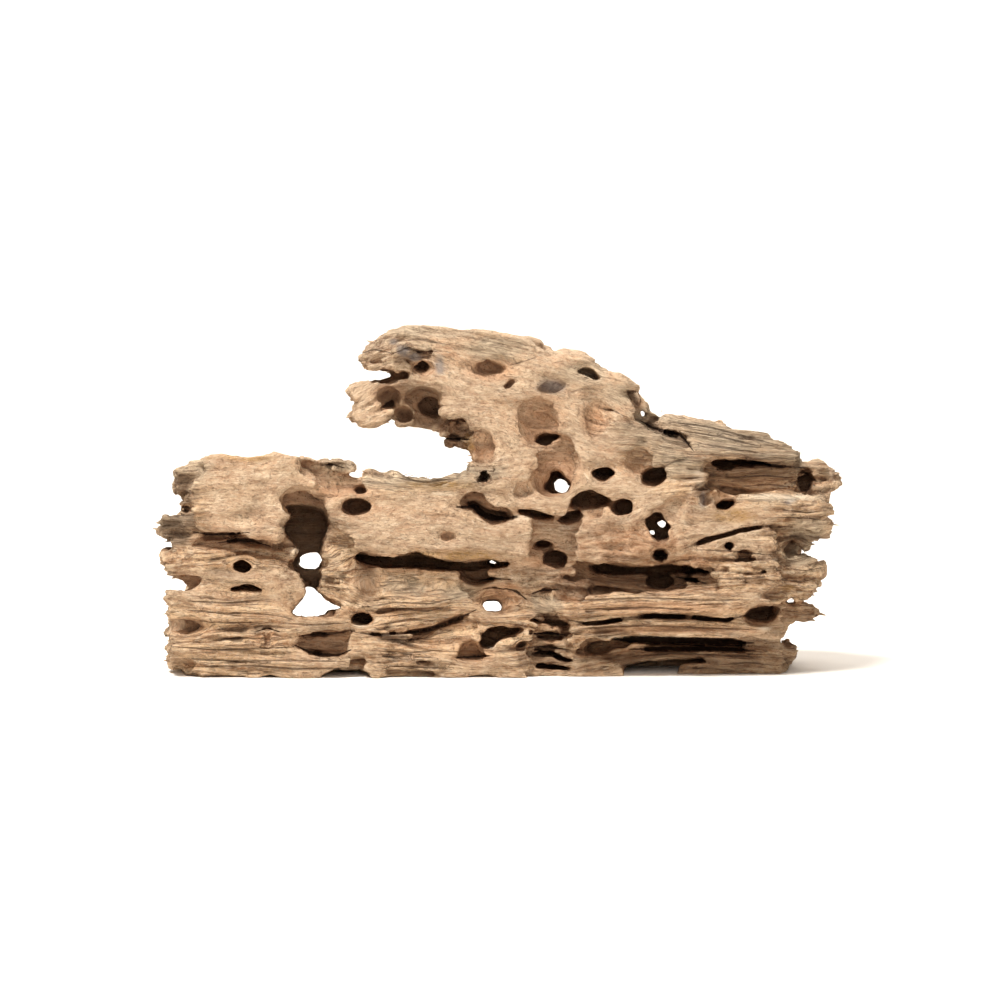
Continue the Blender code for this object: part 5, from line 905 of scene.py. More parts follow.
def grain_of(points):
    """Position along, across and into the grain. The lines of the grain part round each hole."""
    u, w, depth = drawn(points)
    wander = np.stack([u / 90.0, w / 40.0, depth / 60.0], axis=1)
    across = w + 3.2 * smooth_noise(wander, 3)
    on_arm = np.clip((w - 96.0) / 30.0, 0.0, 1.0) * np.clip((u + 75.0) / 30.0, 0.0, 1.0)
    across = across + on_arm * 0.24 * u
    for mid_u, mid_w, half_u, half_w, at_front in SWIRLS:
        near = depth < MIDDLE if at_front else depth > MIDDLE - 12.0
        reach = min(max(half_w, 1.6), 7.5)
        away = ((u - mid_u) / max(half_u, reach)) ** 2 + ((w - mid_w) / reach) ** 2
        push = 0.45 * (w - mid_w) / np.maximum(away, 1.0)
        across = across - np.where(near, push, 0.0)
    return np.stack([u, across, depth], axis=1)


def zone_mask(u, w, depth, zones, warp, soft=0.35):
    """Soft patches, each (u, w, half width, half height): 1 inside, 0 outside, with ragged edges."""
    mask = np.zeros(len(u))
    for mid_u, mid_w, half_u, half_w in zones:
        away = np.sqrt(((u - mid_u) / half_u) ** 2 + ((w - mid_w) / half_w) ** 2)
        patch = np.clip((1.0 + soft - away + 0.35 * warp) / (2.0 * soft), 0.0, 1.0)
        mask = np.maximum(mask, patch)
    return mask * np.clip((MIDDLE - depth + 10.0 * warp) / 20.0, 0.0, 1.0)


RIBBED = [(-132, 58, 36, 5), (-130, 18, 34, 24), (-40, 28, 40, 26), (60, 30, 66, 13), (90, 50, 60, 9),
    (146, 60, 16, 46), (-78, 52, 10, 20), (112, 112, 46, 13), (20, 22, 28, 22), (-40, 97, 34, 6),
    (90, 10, 60, 10), (-154, 82, 11, 28), (120, 94, 40, 8), (112, 52, 28, 8)]
CHUNKY = [(64, 66, 28, 11), (-78, 54, 9, 20), (-50, 156, 18, 12), (-84, 104, 13, 4), (112, 54, 26, 8),
    (26, 44, 20, 9), (-8, 96, 12, 5), (100, 88, 8, 6), (150, 95, 14, 8), (66, 126, 14, 5),
    (-156, 76, 9, 28), (146, 60, 14, 30), (-20, 118, 12, 8), (-100, 56, 9, 12), (22, 18, 16, 14)]
JAGGED = [(-20, 118, 12, 9), (-10, 104, 9, 5), (-156, 72, 9, 9), (-154, 95, 8, 11), (152, 60, 14, 46),
    (66, 134, 8, 8), (-80, 104, 12, 5), (22, 22, 14, 9), (-160, 30, 6, 26), (-60, 156, 14, 14),
    (-62, 132, 12, 12), (75, 126, 8, 5), (150, 98, 12, 8), (-50, 99, 20, 4)]


def layer_count(grain, length, pitch, seed):
    """Number of layers passed on the way up across the grain, whole at the lower lip of each."""
    waves = smooth_noise(grain / np.array([length, pitch * 3.0, 22.0]), seed)
    return grain[:, 1] / pitch + 1.3 * waves


def thick_layers(grain):
    return layer_count(grain, length=120.0, pitch=7.5, seed=28)


def thin_layers(grain):
    return layer_count(grain, length=80.0, pitch=3.3, seed=29)


def terraces(count):
    """Overhanging layers: 1 at the lower lip of a layer, 0 at its top."""
    share = count - np.floor(count)
    return np.where(share < 0.88, 1.0 - share / 0.88, (share - 0.88) / 0.12)


def thick_share(plain):
    """1 where the thick layers show, 0 where they are worn away."""
    return np.clip(0.55 + 1.2 * smooth_noise(plain / 19.0, 27), 0.0, 1.0)


def crack_lines(grain, plain):
    """1 along thin splits that follow the grain, 0 elsewhere."""
    seam = np.abs(smooth_noise(grain / np.array([110.0, 5.2, 20.0]), 24))
    open_here = np.clip(smooth_noise(plain / 21.0, 25) * 5.0 + 0.35, 0.0, 1.0)
    return np.clip(1.25 - seam / 0.085, 0.0, 1.0) * open_here


def seams(u, w, depth):
    """Distance over (+) or under (-) the nearest drawn crack, in its half widths, and how near it is."""
    offset = np.full(len(u), FAR_OFF)
    nearest = np.full(len(u), FAR_OFF)
    close = np.zeros(len(u))
    for path, half, cut, at_front in CRACKS:
        strength = min(1.0, max(0.35, (cut - 9.0) / 12.0))
        us, ws = zip(*path)
        rows = np.where((u > min(us) - SEAM_REACH) & (u < max(us) + SEAM_REACH)
                        & (w > min(ws) - SEAM_REACH) & (w < max(ws) + SEAM_REACH)
                        & ((depth < MIDDLE) == at_front))[0]
        for i, ((u0, w0), (u1, w1)) in enumerate(zip(path, path[1:])):
            length = math.hypot(u1 - u0, w1 - w0)
            along_u, along_w = (u1 - u0) / length, (w1 - w0) / length
            from_u, from_w = u[rows] - u0, w[rows] - w0
            along = from_u * along_u + from_w * along_w
            over = from_w * along_u - from_u * along_w
            away = np.hypot(over, along - np.clip(along, 0.0, length))
            ends = min(1.0, 0.35 + 0.3 * min(i, len(path) - 2 - i))
            closer = away < nearest[rows]
            nearest[rows[closer]] = away[closer]
            offset[rows[closer]] = over[closer] / (half * ends)
            close[rows[closer]] = strength * np.clip((half + 1.1 - away[closer]) / 0.8, 0.0, 1.0)
    return np.clip(offset, -5.0, 5.0), close


def worn_rims(u, w, depth, normals):
    """How far, in millimetres, the face is worn down round the mouth of each hollow."""
    worn = np.zeros(len(u))
    for mid_u, mid_w, half_u, half_w, at_front in SWIRLS:
        rows = np.where((np.abs(u - mid_u) < half_u + RIM_REACH) & (np.abs(w - mid_w) < half_w + RIM_REACH)
                        & ((depth < 34.0) if at_front else (depth > 60.0)))[0]
        away = np.hypot((u[rows] - mid_u) / half_u, (w[rows] - mid_w) / half_w)
        beyond = np.maximum(away - 1.0, 0.0) * min(half_u, half_w)
        facing = np.clip(normals[rows, 1] * (-1.6 if at_front else 1.6), 0.0, 1.0)
        rim = min(RIM_WEAR, 0.5 + 0.34 * min(half_u, half_w))
        worn[rows] = np.maximum(worn[rows], rim * facing * np.exp(-(beyond / RIM_WIDTH) ** 2))
    return worn


def relief(obj, coarse, fine):
    """Shape of the surface, by shares of its coarse and fine parts. Coarse are the dents, the layers
    of the ribbed wood and the broken ends; fine are the ridges and cracks of the grain."""
    mesh = obj.data
    points = read_points(mesh)
    normals = read_normals(mesh)
    u, w, depth = drawn(points)
    grain = grain_of(points)
    plain = points / MM
    warp = smooth_noise(plain / 9.0, 5)
    ribbed = zone_mask(u, w, depth, RIBBED, warp)
    rear = np.clip((depth - 50.0) / 20.0, 0.0, 1.0)
    ends = np.clip(np.abs(normals[:, 0]) * 1.6 - 0.5, 0.0, 1.0)
    chunky = zone_mask(u, w, depth, CHUNKY, warp)
    inner = np.clip((depth - 9.0) / 5.0, 0.0, 0.55)
    rough = np.clip(0.2 + 0.8 * ribbed + 0.6 * rear + inner, 0.0, 1.0)
    jagged = np.maximum(ends, zone_mask(u, w, depth, JAGGED, warp))
    move = np.zeros(len(points))
    if coarse:
        presence = thick_share(plain)
        layers = (terraces(thick_layers(grain)) - 0.5) * presence
        sheets = (terraces(thin_layers(grain)) - 0.5) * (1.0 - 0.6 * presence)
        broken = layered_noise(grain / np.array([5.0, 1.8, 3.2]), 26)
        dents = LARGE_DENT * smooth_noise(plain / 27.0, 10) + DENT * smooth_noise(plain / 13.0, 11)
        dents += SMALL_DENT * smooth_noise(plain / 6.0, 12) - worn_rims(u, w, depth, normals)
        bark = layered_noise(grain / np.array([9.0, 4.2, 6.0]), 30)
        move += coarse * (dents + rough * (THICK_LAYER * layers + THIN_LAYER * sheets))
        move += coarse * (jagged * (BROKEN_END * broken + BROKEN_SHEET * sheets) + BARK * chunky * bark)
    if fine:
        lines = layered_noise(grain / np.array([70.0, 3.1, 10.0]), 21)
        threads = smooth_noise(grain / np.array([30.0, 1.5, 5.0]), 23)
        pits = PIT * smooth_noise(grain / np.array([4.2, 2.2, 3.0]), 13)
        pits += chunky * CHUNK * layered_noise(grain / np.array([5.0, 2.4, 3.4]), 14)
        splits = crack_lines(grain, plain) * (0.4 + 1.2 * rough)
        offset, close = seams(u, w, depth)
        grooves = GROOVE_DEPTH * close * np.clip(1.5 - np.abs(offset), 0.0, 1.0)
        move += fine * (pits + rough * (LINE * lines + THREAD * threads) - splits - grooves)
    move = np.where(points[:, 2] < 0.4 * MM, 0.0, move)
    write_points(mesh, points + normals * (move * MM)[:, None])


def spread(values, pairs, rounds):
    """Average with the neighbours along edges, a few times over."""
    count = np.bincount(pairs.ravel(), minlength=len(values)) + 1.0
    for _ in range(rounds):
        total = values.copy()
        total += np.bincount(pairs[:, 0], weights=values[pairs[:, 1]], minlength=len(values))
        total += np.bincount(pairs[:, 1], weights=values[pairs[:, 0]], minlength=len(values))
        values = total / count
    return values


def crest(points, normals, pairs):
    """Over 0 on edges that stand out, under 0 in creases."""
    along = points[pairs[:, 1]] - points[pairs[:, 0]]
    along = along / np.maximum(np.linalg.norm(along, axis=1), 1e-9)[:, None]
    first = -(normals[pairs[:, 0]] * along).sum(axis=1)
    second = (normals[pairs[:, 1]] * along).sum(axis=1)
    total = np.bincount(pairs[:, 0], weights=first, minlength=len(points))
    total += np.bincount(pairs[:, 1], weights=second, minlength=len(points))
    return total / np.maximum(np.bincount(pairs.ravel(), minlength=len(points)), 1)


def openness(obj, points, normals, rays):
    """Share of rays from each point that get away: low inside holes and under ledges."""
    tree = BVHTree.FromPolygons([tuple(p) for p in points],
                                [tuple(face.vertices) for face in obj.data.polygons])
    turn = math.pi * (3.0 - math.sqrt(5.0))
    free = np.zeros(len(points))
    for i, (point, normal) in enumerate(zip(points, normals)):
        up = Vector(normal)
        side = up.orthogonal().normalized()
        other = up.cross(side)
        start = Vector(point) + up * RAY_START * MM
        got_away = 0
        for k in range(rays):
            rise = math.sqrt(1.0 - (k + 0.5) / rays)
            out = math.sqrt(1.0 - rise * rise)
            angle = turn * (k + i % 7)
            ray = side * (out * math.cos(angle)) + other * (out * math.sin(angle)) + up * rise
            if tree.ray_cast(start, ray, RAY_REACH * MM)[0] is None:
                got_away += 1
        free[i] = got_away / rays
    return free


GROOVES = [[(-152, 33.4), (-134, 31.8), (-118, 31.6)], [(-143, 27.6), (-130, 27.0), (-118, 27.4)],
    [(-158, 15.6), (-138, 13.8), (-120, 14.4), (-100, 15.2)], [(-152, 9.6), (-128, 8.4), (-104, 8.8),
    (-76, 8.2)], [(-146, 5.6), (-120, 6.2), (-98, 4.6), (-74, 5.0)], [(-104, 26.8), (-90, 26.0),
    (-74, 27.0)], [(-140, 18.8), (-124, 19.6), (-108, 18.8)], [(-150, 37.6), (-132, 36.6), (-112, 38.2)],
    [(-62, 13.6), (-44, 12.4), (-28, 13.8)], [(-60, 10.4), (-45, 10.8), (-30, 9.8)], [(-58, 6.2),
    (-40, 5.6), (-26, 5.2)], [(-65, 34.6), (-50, 37.0), (-34, 36.2), (-20, 39.4)], [(-63, 31.2),
    (-47, 33.8), (-34, 32.8), (-24, 35.4)], [(-58, 26.0), (-44, 28.6), (-32, 28.4)], [(-56, 19.0),
    (-44, 18.6), (-36, 19.4)], [(40, 38.2), (70, 39.4), (100, 38.0), (120, 38.4)], [(38, 33.4), (70, 34.8),
    (96, 33.2)], [(40, 24.4), (70, 25.8), (100, 24.6), (124, 23.8)], [(96, 62.6), (112, 62.0), (130, 60.2)],
    [(112, 49.0), (122, 48.6), (133, 50.2)], [(118, 93.4), (130, 94.4), (144, 92.6)], [(112, 97.8),
    (128, 98.6), (143, 97.4)], [(83, 124.2), (100, 122.4), (118, 117.6), (134, 113.4)], [(88, 120.2),
    (106, 117.6), (126, 112.6)], [(97, 114.0), (112, 111.6), (128, 109.2)], [(-52, 97.8), (-36, 95.4),
    (-20, 97.2)], [(66, 10.8), (84, 12.2), (104, 11.6), (126, 10.4)], [(106, 6.6), (120, 7.8), (132, 6.6)],
    [(138, 82.0), (148, 80.6), (157, 81.6)], [(136, 78.2), (148, 78.0), (156, 77.0)], [(140, 53.6),
    (148, 52.4), (155, 53.8)], [(138, 47.8), (146, 47.0), (152, 48.4)]]
# Patches (u, w, half width, half height): stains, and also painted shade and painted highlights
STAINS_AND_PAINTED_LIGHT = {
    "grey": [(-40, 97, 34, 5), (-10, 100, 14, 4), (104, 118, 44, 9), (78, 126, 14, 6), (140, 110, 16, 6),
        (-152, 97, 7, 9), (-78, 103, 10, 3.4), (-157, 70, 8, 5), (150, 72, 10, 6), (66, 120, 9, 5),
        (-150, 100, 10, 7), (-157, 75, 9, 7), (40, 148, 12, 5), (58, 138, 8, 5), (-34, 168, 26, 3),
        (146, 60, 9, 7), (86, 104, 12, 6), (-44, 44, 12, 4), (-20, 42, 9, 4), (22, 36, 8, 5),
        (0, 160, 16, 5)],
    "rust": [(-4, 149, 11, 5), (-76, 91, 13, 3.4), (-94, 86, 11, 5), (19, 124, 11, 12), (64, 66, 24, 9),
        (-52, 137, 8, 6), (27, 100, 12, 10), (0, 40, 12, 7), (46, 124, 6, 8), (-136, 67, 12, 3),
        (76, 72, 8, 9), (-12, 14, 9, 6), (22, 60, 10, 9), (120, 96, 22, 4), (88, 57, 24, 3),
        (78, 34, 40, 3), (80, 24, 40, 2), (-120, 66, 16, 3), (-8, 112, 7, 8)],
    "blue": [(-46.5, 158.8, 3.2, 2.6), (-28.5, 151.5, 2.0, 5.0), (-50.5, 163, 2.2, 1.4),
        (25, 141.5, 6.4, 2.8), (140, 86, 3.0, 1.6), (98.5, 87, 1.6, 3.4), (-40, 155.5, 3.0, 2.0)],
    "ochre": [(-14.5, 114, 2.4, 4.0), (-18, 60, 23, 2.4), (112, 79, 10, 3.4), (140, 44, 4, 1.6),
        (-30, 94, 16, 2.0), (-124, 107, 14, 1.6)],
    # painted highlights on the lit lips of holes and ledges at the front; random pale patches of wood on
    # the rear
    "pale_wood_and_painted_highlight": [(136, 88, 21, 1.7), (11, 78, 4, 1.3), (32, 73.6, 4, 1.0), (-68, 25.3, 3.0, 0.8),
        (129, 24.3, 3.2, 0.9), (-29, 89.6, 10, 0.7), (-3.5, 15, 2, 0.8), (-98, 62, 4, 1.2),
        (70, 20, 18, 0.9), (96, 98, 3, 4)],
    # painted shade under ledges, in slots and in hollows at the front; random darker patches of wood on the
    # rear
    "dark_wood_and_painted_shade": [(-64, 49, 5, 10), (-44, 126, 7, 5), (-20, 113, 9, 4), (-50, 138, 9, 5), (34, 45, 8, 6),
        (-36, 129, 7, 5), (72, 49, 32, 5), (-90, 74, 10, 14), (-85, 16.5, 11, 5), (-156, 72, 10, 8),
        (-153, 92, 6, 9), (-52, 137, 6, 4), (-37, 138, 9, 4), (-152, 26, 8, 3), (90, 8, 50, 6),
        (110, 16, 30, 3), (150, 24, 8, 10), (-30, 56.5, 30, 2.2), (-160, 46, 8, 3), (120, 104, 14, 3),
        (-45, 155, 5, 3), (70, 52, 34, 3), (-34, 126, 7, 5), (-20, 120, 8, 5), (24, 10, 12, 6),
        (98, 92, 4, 3)],
}


def add_attribute(mesh, name, values):
    kind, field = ("FLOAT", "value") if values.ndim == 1 else ("FLOAT_VECTOR", "vector")
    attribute = mesh.attributes.new(name, kind, "POINT")
    attribute.data.foreach_set(field, np.ascontiguousarray(values, dtype=np.float32).ravel())


def mark_surface(obj, rays):
    """Gives each point its place in the grain, how open, worn and stained it is, and where shade and
    highlights are painted on it.
    """
    mesh = obj.data
    points = read_points(mesh)
    normals = read_normals(mesh)
    pairs = read_rows(mesh.edges, "vertices", 2, np.int64)
    u, w, depth = drawn(points)
    plain = points / MM
    grain = grain_of(points)
    warp = layered_noise(plain / 7.0, 31)
    rear = np.clip((depth - MIDDLE) / 12.0, 0.0, 1.0)
    ribbed = np.maximum(zone_mask(u, w, depth, RIBBED, warp), 0.7 * rear)
    presence = thick_share(plain)
    inner = np.clip((depth - 9.0) / 5.0, 0.0, 0.5)
    layered = np.clip(ribbed + inner, 0.08, 1.0) * (1.0 - 0.6 * np.clip((w - 146.0) / 12.0, 0.0, 1.0))
    seam, seam_near = seams(u, w, depth)
    marks = {
        "grain": grain,
        "openness": spread(openness(obj, points, normals, rays), pairs, 3),
        "crest": spread(crest(points, normals, pairs), pairs, 1),
        "ribbed": ribbed,
        "chunky": zone_mask(u, w, depth, CHUNKY, warp),
        "crack": crack_lines(grain, plain) * (0.3 + 0.7 * ribbed),
        "thick_layers": thick_layers(grain),
        "thin_layers": thin_layers(grain),
        "thick_share": layered * presence,
        "thin_share": layered * (1.0 - 0.5 * presence),
        "seam": seam,
        "seam_near": seam_near,
    }
    for number, (name, zones) in enumerate(STAINS_AND_PAINTED_LIGHT.items()):
        patches = smooth_noise(plain / np.array([34.0, 30.0, 15.0]), 40 + number)
        behind = rear * np.clip((patches - 0.32) * 4.0, 0.0, 0.0 if name == "blue" else 1.0)
        marks[name] = np.maximum(zone_mask(u, w, depth, zones, warp), behind)
    for name, values in marks.items():
        add_attribute(mesh, name, values)


def carved_wood():
    """The block with all its hollows, in the drawing's place, before it is centred."""
    solid = bmesh.new()
    for build in (left_plates, middle_plates, arm_plates, right_plates, rear_plates):
        build(solid)
    wood = add_object("wood", solid)
    add_voxel_remesh(wood, VOXEL)
    apply_modifiers(wood)
    edit(wood, weather)
    add_voxel_remesh(wood, SKIN_VOXEL)
    apply_modifiers(wood)
    hollow = bmesh.new()
    for cut in (cut_left, cut_middle, cut_arm, cut_right, cut_foot, cut_rear):
        cut(hollow)
    CRACKS.extend((close_points(path), GROOVE, GROOVE_CUT, True) for path in GROOVES)
    relief(wood, coarse=1.0, fine=0.35)
    add_voxel_remesh(wood, SKIN_VOXEL)
    apply_modifiers(wood)

    cutter = add_object("hollows", hollow)
    add_voxel_remesh(cutter, HOLLOW_VOXEL)
    apply_modifiers(cutter)

    add_difference(wood, cutter)
    add_voxel_remesh(wood, FINAL_VOXEL)
    smooth = wood.modifiers.new("wear", "SMOOTH")
    smooth.factor = 0.5
    smooth.iterations = 1
    apply_modifiers(wood)
    bpy.data.objects.remove(cutter, do_unlink=True)
    return wood


def cut_flat_base(obj):
    """Everything under z = 0 is sawn off, which leaves the flat resting face."""
    ground = bmesh.new()
    bmesh.ops.create_cube(ground, size=1.0, matrix=Matrix.Translation((0, 0, -0.5)))
    ground_block = add_object("ground_block", ground)
    add_difference(obj, ground_block)
    apply_modifiers(obj)
    bpy.data.objects.remove(ground_block, do_unlink=True)


def decimate(obj, share):
    """Thins out the rear, then the middle, then the front, each to its own number of triangles."""
    behind = 1000.0
    for nearest, wanted in DETAIL:
        mesh = obj.data
        _, _, depth = drawn(read_points(mesh))
        inside = (depth >= nearest) & (depth < behind)
        sides, firsts = (read_rows(mesh.polygons, field, 1, np.int64)[:, 0]
                         for field in ("loop_total", "loop_start"))
        corners = read_rows(mesh.loops, "vertex_index", 1, np.int64)[:, 0]
        total = int((sides - 2).sum())
        here = int((sides - 2)[inside[corners[firsts]]].sum())
        group = obj.vertex_groups.new(name="thinned")
        group.add([int(i) for i in np.where(inside)[0]], 1.0, "REPLACE")
        reduce = obj.modifiers.new("reduce", "DECIMATE")
        reduce.ratio = min(1.0, (total - here + wanted * share) / total)
        reduce.vertex_group = group.name
        reduce.vertex_group_factor = 0.001
        apply_modifiers(obj)
        obj.vertex_groups.clear()
        behind = nearest


def shard(bm, path, radius):
    """Thin closed strip of wood along a path of real points, flattened and tapered to its tip."""
    rings = []
    for i, point in enumerate(path[:-1]):
        ahead = (path[i + 1] - point).normalized()
        side = ahead.orthogonal().normalized()
        other = ahead.cross(side)
        size = radius * (1.0 - i / (len(path) - 1)) ** 0.6
        ring = []
        for corner in range(SHARD_SIDES):
            angle = 2.0 * math.pi * corner / SHARD_SIDES
            ring.append(bm.verts.new(point + side * (math.cos(angle) * size)
                                     + other * (math.sin(angle) * size * SHARD_FLAT)))
        rings.append(ring)
    tip = bm.verts.new(path[-1])
    bm.faces.new(list(reversed(rings[0])))
    for nearer, further in zip(rings, rings[1:]):
        for i in range(SHARD_SIDES):
            j = (i + 1) % SHARD_SIDES
            bm.faces.new((nearer[i], nearer[j], further[j], further[i]))
    for i in range(SHARD_SIDES):
        bm.faces.new((rings[-1][i], rings[-1][(i + 1) % SHARD_SIDES], tip))


HAIRS = [((-50, 98, 9), (-49.8, 100.6, 8), (-49.2, 102.8, 8)), ((-50.6, 98, 9), (-51, 100, 8),
    (-52.4, 101.4, 8)), ((-35, 96, 10), (-34.8, 98.4, 9), (-35.2, 100.4, 9)), ((-34.6, 96, 10),
    (-33.6, 98, 9), (-32.6, 99, 9)), ((-45, 97.6, 9), (-41, 98.9, 8), (-37, 98.7, 8)), ((-47.5, 98, 9),
    (-44, 99.4, 8), (-39.6, 99.6, 9)), ((-61.6, 99, 9), (-61.8, 101, 9), (-62.2, 102.4, 9)),
    ((-26, 118.6, 17), (-29, 118.6, 16), (-31.6, 119.2, 16)), ((-23, 115, 20), (-25.6, 114.4, 19),
    (-27.8, 114.6, 19)), ((-158, 28.2, 10), (-161, 28.6, 9), (-164, 28.4, 9)), ((-157, 31, 10),
    (-160, 31.6, 9), (-162.6, 31, 9)), ((-99.6, 31, 20), (-98.2, 31.8, 20), (-97, 32.6, 21)),
    ((-96, 29.8, 20), (-95, 31.6, 20), (-93.4, 33.4, 21)), ((-100, 33, 20), (-97, 35.4, 20),
    (-94.6, 36, 21)), ((-90, 29.6, 16), (-89, 31, 16), (-86.4, 31.4, 17)), ((-98, 45, 16), (-96.4, 44, 16),
    (-94.6, 42, 17)), ((-70, 101, 14), (-68.4, 101.6, 13), (-66.8, 101.2, 13)), ((148, 66, 24),
    (151, 65.4, 23), (153.4, 65.8, 23)), ((146, 57, 24), (148.6, 56.6, 23), (150.4, 57.2, 23)),
    ((141, 38, 26), (143, 39.4, 26), (145.6, 39.6, 27)), ((158, 76, 28), (160.6, 76.8, 28),
    (163, 76.4, 28)), ((138, 15, 30), (143, 15.4, 29), (147.6, 15.2, 29)), ((-14, 104, 18),
    (-15.6, 103.2, 18), (-17.2, 103.6, 18)), ((-13, 101.4, 16), (-15, 101, 16), (-18, 101.4, 16)),
    ((-28, 34, 5), (-24, 36, 4), (-21, 35.6, 4.5)), ((72, 129, 22), (70.8, 131.4, 22), (71.4, 133, 22)),
    ((78, 129, 24), (78.6, 130.6, 24), (78, 132, 24))]


def add_splinters(bm):
    """Splinters along the grain at the broken ends and ledges, and loose fibres."""
    bm.normal_update()
    points = np.array([tuple(vert.co) for vert in bm.verts])
    normals = np.array([tuple(vert.normal) for vert in bm.verts])
    u, w, depth = drawn(points)
    warp = smooth_noise(points / MM / 9.0, 5)
    broken = zone_mask(u, w, depth, JAGGED, warp)
    outward = np.abs(normals[:, 0]) > 0.45
    chance = np.random.default_rng(7)
    pool = np.where((broken > 0.5) & outward & (points[:, 2] > 3.0 * MM))[0]
    for index in chance.choice(pool, size=min(SPLINTERS, len(pool)), replace=False):
        way = math.copysign(1.0, normals[index, 0])
        start = Vector(points[index]) - Vector(normals[index]) * SPLINTER_ROOT * MM
        length = chance.uniform(*SPLINTER_LENGTH) * MM
        ahead = Vector((way, chance.normal(0.0, 0.12), chance.normal(0.0, 0.16)))
        ahead += Vector(normals[index]) * 0.25
        bend = Vector((0.0, chance.normal(0.0, 0.1), chance.normal(0.0, 0.16)))
        path = [start + (ahead + bend * share) * (length * share) for share in (0.0, 0.35, 0.7, 1.0)]
        shard(bm, path, chance.uniform(*SPLINTER_RADIUS) * MM)
    for hair in HAIRS:
        shard(bm, [place(*point) for point in hair], HAIR_RADIUS * MM)


def shift_to(obj, low, high):
    """Moves the piece so that it has the CAD solid's middle, on the floor."""
    points = read_points(obj.data)
    middle = (points.min(axis=0) + points.max(axis=0)) / 2
    move = np.array([(low.x + high.x) / 2 - middle[0], (low.y + high.y) / 2 - middle[1], 0.0])
    write_points(obj.data, points + move)
    return Vector(move)


class Nodes:
    """A material, with short ways to add its nodes. Colours lie over each other in self.colour."""

    def __init__(self, name):
        self.material = bpy.data.materials.new(name)
        self.material.use_nodes = True
        self.tree = self.material.node_tree
        self.shader = self.tree.nodes["Principled BSDF"]
        self.colour = None

    def add(self, kind, settings=(), **inputs):
        made = self.tree.nodes.new(kind)
        for name, value in dict(settings).items():
            setattr(made, name, value)
        for name, value in inputs.items():
            self.feed(made.inputs[name], value)
        return made

    def feed(self, socket, value):
        if isinstance(value, bpy.types.NodeSocket):
            self.tree.links.new(value, socket)
        else:
            socket.default_value = value

    def attribute(self, name, output="Fac"):
        return self.add("ShaderNodeAttribute", {"attribute_name": name}).outputs[output]

    def noise(self, vector, sizes, detail, roughness=0.55):
        """Noise whose features have these sizes, in millimetres, along, across and into the grain."""
        stretched = self.add("ShaderNodeVectorMath", {"operation": "DIVIDE"})
        self.feed(stretched.inputs[0], vector)
        self.feed(stretched.inputs[1], sizes)
        made = self.add("ShaderNodeTexNoise", {"noise_dimensions": "3D"}, Vector=stretched.outputs[0],
                        Scale=1.0, Detail=detail, Roughness=roughness)
        return made.outputs["Fac"]

    def remap(self, value, low, high, to_low=0.0, to_high=1.0):
        made = self.add("ShaderNodeMapRange", {"clamp": True})
        for name, part in (("Value", value), ("From Min", low), ("From Max", high),
                           ("To Min", to_low), ("To Max", to_high)):
            self.feed(made.inputs[name], part)
        return made.outputs["Result"]

    def math(self, operation, first, second=0.0):
        made = self.add("ShaderNodeMath", {"operation": operation})
        self.feed(made.inputs[0], first)
        self.feed(made.inputs[1], second)
        return made.outputs[0]

    def times(self, first, *others):
        for other in others:
            first = self.math("MULTIPLY", first, other)
        return first

    def plus(self, first, second):
        return self.math("ADD", first, second)

    def mix(self, share, first, second):
        made = self.add("ShaderNodeMix", {"data_type": "RGBA"})
        for number, part in ((0, share), (6, first), (7, second)):
            self.feed(made.inputs[number], part)
        return made.outputs[2]

    def coat(self, share, colour):
        """Lays a colour over what is there, 0 not at all and 1 fully."""
        self.colour = self.mix(share, self.colour, colour)


def srgb(red, green, blue):
    """Linear colour from 0 to 255 screen values."""
    parts = []
    for value in (red, green, blue):
        share = value / 255.0
        parts.append(share / 12.92 if share <= 0.04045 else ((share + 0.055) / 1.055) ** 2.4)
    return (*parts, 1.0)


def layer_shadows_and_highlights(make, mottle, blotch):
    """Painted shadow lines under the lips of the layers, and painted highlights on the lips. Gives the
    heights of the layers.
    """
    steps = []
    ragged = make.times(make.math("SUBTRACT", mottle, 0.5), 0.5)
    patchy = make.remap(blotch, 0.34, 0.56, 0.25, 1.0)
    for name, strength in (("thick", 0.75), ("thin", 0.55)):
        share = make.math("FRACT", make.plus(make.attribute(name + "_layers"), ragged))
        under = make.times(make.remap(share, 0.66, 0.84), make.remap(share, 0.87, 0.95, 1.0, 0.0))
        here = make.times(make.attribute(name + "_share"), patchy)
        # painted shadow just under the overhanging lip of each layer
        make.coat(make.times(under, here, strength), srgb(116, 80, 52))
        # painted highlight on the lip of each layer
        make.coat(make.times(make.remap(share, 0.0, 0.22, 0.5, 0.0), here), srgb(228, 202, 170))
        steps.append(make.times(make.remap(share, 0.0, 0.88, 1.0, 0.0), here))
    return steps


